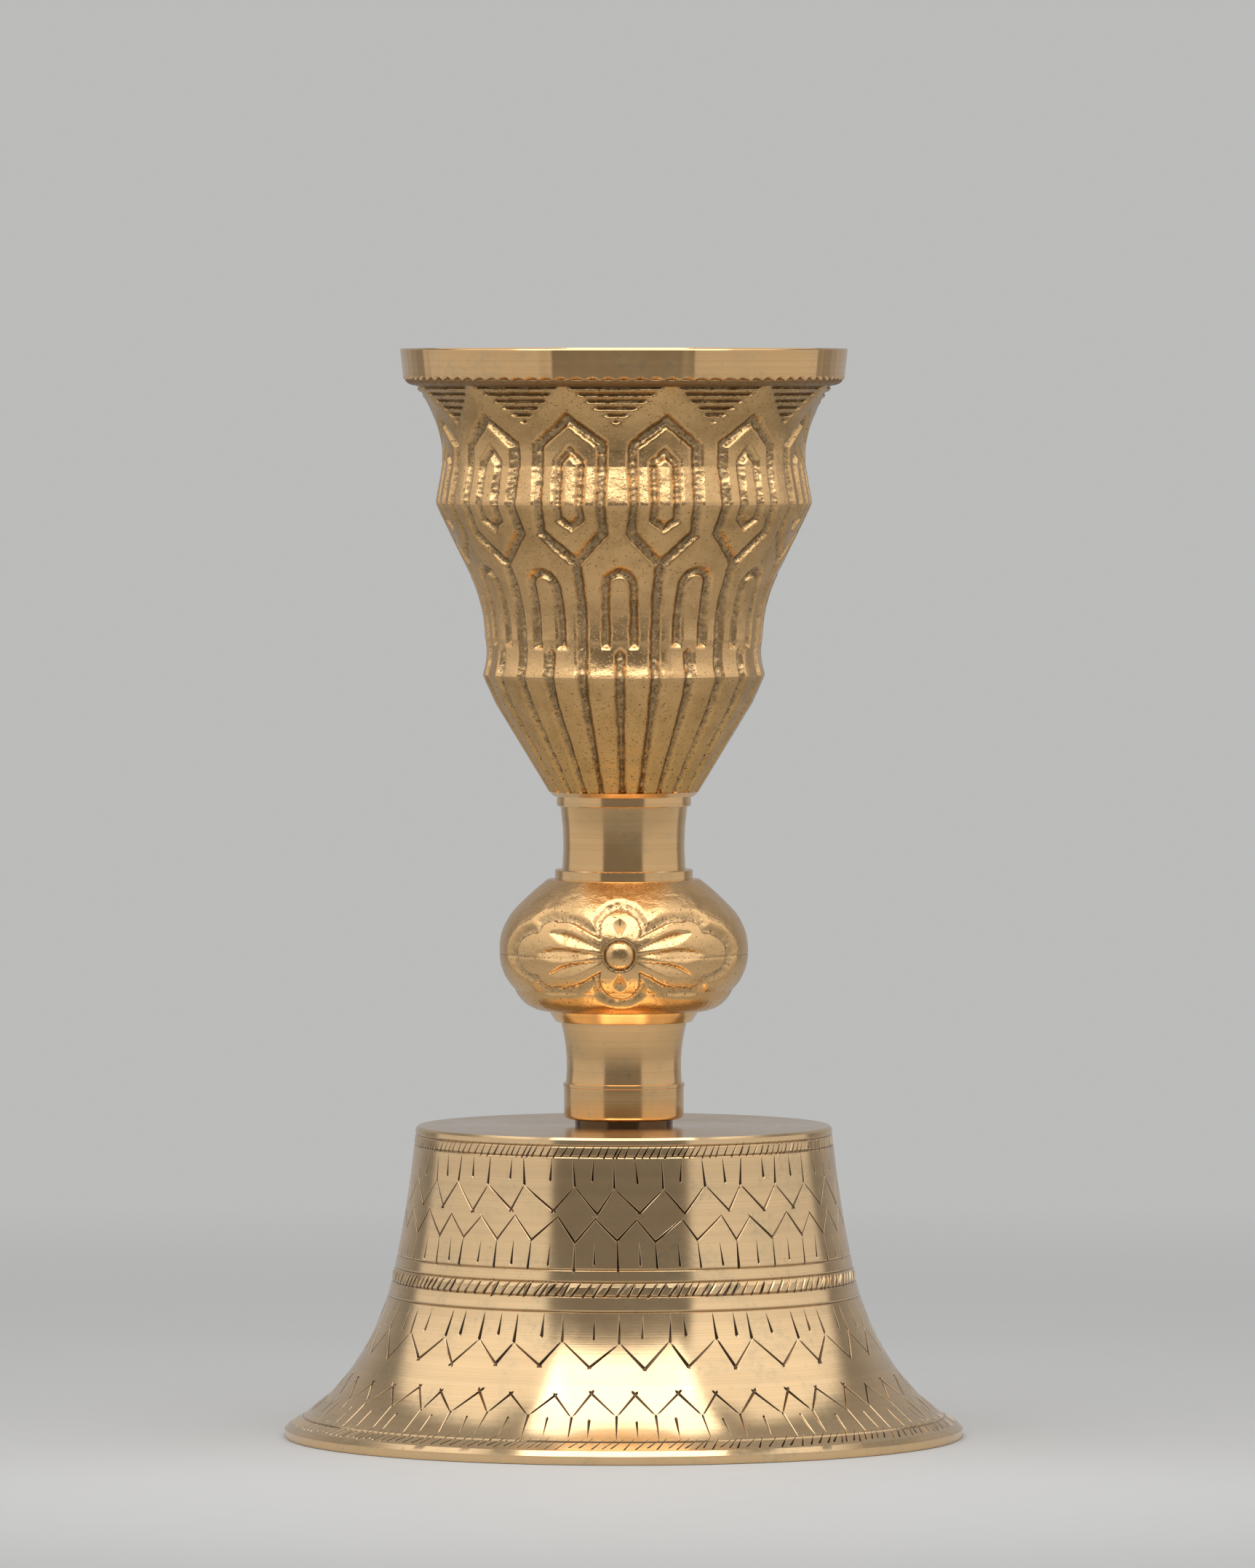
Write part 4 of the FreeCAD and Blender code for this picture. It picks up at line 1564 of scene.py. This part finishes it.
def floor_paper(finish, looks):
    """Pale paper, which fades into the room before its edge."""
    place_now = finish.coordinates("Object")
    from_lamp = finish.add("ShaderNodeVectorMath", {0: place_now}, operation="LENGTH").outputs["Value"]
    paper = finish.noise(place_now, 160, 3.0, 0.6)
    colour = finish.blend(paper, opaque(looks.floor), opaque(looks.floor, 0.97))
    finish.surface(colour, 0.6, Specular_IOR_Level=0.2)
    shader = finish.nodes["Principled BSDF"].outputs[0]
    glow = finish.add("ShaderNodeEmission", {"Color": opaque(looks.backdrop), "Strength": 1}).outputs[0]
    faded = finish.times(finish.camera_ray(), finish.span(from_lamp, *floor_fade, 0, 1))
    mix = finish.add("ShaderNodeMixShader", {0: faded, 1: shader, 2: glow})
    finish.join(finish.nodes["Material Output"], {"Surface": mix.outputs[0]})


def hang_soft_box():
    """A soft box just above the camera's view, in front of the lamp and turned down to it."""
    run = box_back[0] - box_front[0]
    rise = box_back[1] - box_front[1]
    light = bpy.data.lights.new("soft box", "AREA")
    light.shape = "RECTANGLE"
    light.size = box_width
    light.size_y = math.hypot(run, rise)
    light.energy = box_strength * 4 * light.size * light.size_y
    box = put_in_scene("soft box", light)
    box.location = (0, box_front[0] + run / 2, box_front[1] + rise / 2)
    box.rotation_euler = (math.atan2(rise, run), 0, 0)
    box.visible_camera = False


def light_world(looks):
    """A dark gap in front, a bright panel at each side, and a pale room for the camera."""
    world = bpy.data.worlds.new("studio")
    bpy.context.scene.world = world
    finish = Finish(world)

    def ramp(angle, ends, first, last):
        return finish.span(angle, *(math.radians(end) for end in ends), first, last)

    x, y, z = finish.parts(finish.coordinates("Generated"))
    aside = finish.maths("ABSOLUTE", finish.maths("ARCTAN2", x, finish.times(y, -1.0)))
    rise = finish.maths("ARCSINE", z)
    beside = finish.times(ramp(aside, panel_edges, 0, 1), ramp(aside, panel_ends, 1, 0))
    beside = finish.times(beside, ramp(rise, panel_tops, 1, 0))
    panel = ramp(rise, panel_rise, *panel_levels)
    level = finish.plus(front_level, finish.times(beside, finish.maths("SUBTRACT", panel, front_level)))
    level = finish.plus(level, finish.times(ramp(aside, behind_start, 0, 1), behind_level))
    seen = finish.camera_ray()
    colour = finish.blend(seen, opaque((1, 1, 1)), opaque(looks.backdrop))
    strength = finish.plus(finish.times(level, finish.maths("SUBTRACT", 1.0, seen)), seen)
    finish.join(finish.nodes["Background"], {"Color": colour, "Strength": strength})


def set_camera():
    camera = bpy.data.cameras.new("photo view")
    camera.lens = camera_lens
    camera.sensor_width = 36
    camera.clip_start = 0.01
    camera.clip_end = 100
    view = put_in_scene("photo view", camera)
    aside = camera_distance * math.sin(camera_azimuth)
    back = camera_distance * math.cos(camera_azimuth)
    view.location = (aside, -back, camera_height)
    view.rotation_euler = (Vector(camera_aim) - view.location).to_track_quat("-Z", "Y").to_euler()
    bpy.context.scene.camera = view


class LAMP_PT_lamp(bpy.types.Panel):
    """Sizes, colours and pieces of the lamp"""

    bl_label = "Butter lamp"
    bl_space_type = "VIEW_3D"
    bl_region_type = "UI"
    bl_category = "Lamp"

    def draw(self, context):
        for group in (context.scene.lamp_sizes, context.scene.lamp_looks):
            column = self.layout.column()
            for name in group.__annotations__:
                column.prop(group, name)
        for operator in lamp_operators:
            self.layout.operator(operator.bl_idname)


lamp_operators = (LAMP_OT_bowl, LAMP_OT_knop, LAMP_OT_necks, LAMP_OT_base, LAMP_OT_fasteners, LAMP_OT_stage)
classes = (LampSizes, LampLooks, *lamp_operators, LAMP_PT_lamp)


def register():
    for each in classes:
        bpy.utils.register_class(each)
    bpy.types.Scene.lamp_sizes = bpy.props.PointerProperty(type=LampSizes)
    bpy.types.Scene.lamp_looks = bpy.props.PointerProperty(type=LampLooks)


def unregister():
    del bpy.types.Scene.lamp_looks
    del bpy.types.Scene.lamp_sizes
    for each in reversed(classes):
        bpy.utils.unregister_class(each)


def main():
    register()
    bpy.ops.lamp.bowl()
    bpy.ops.lamp.knop()
    bpy.ops.lamp.necks()
    bpy.ops.lamp.base()
    bpy.ops.lamp.fasteners()
    bpy.ops.lamp.stage()


if __name__ == "__main__":
    main()
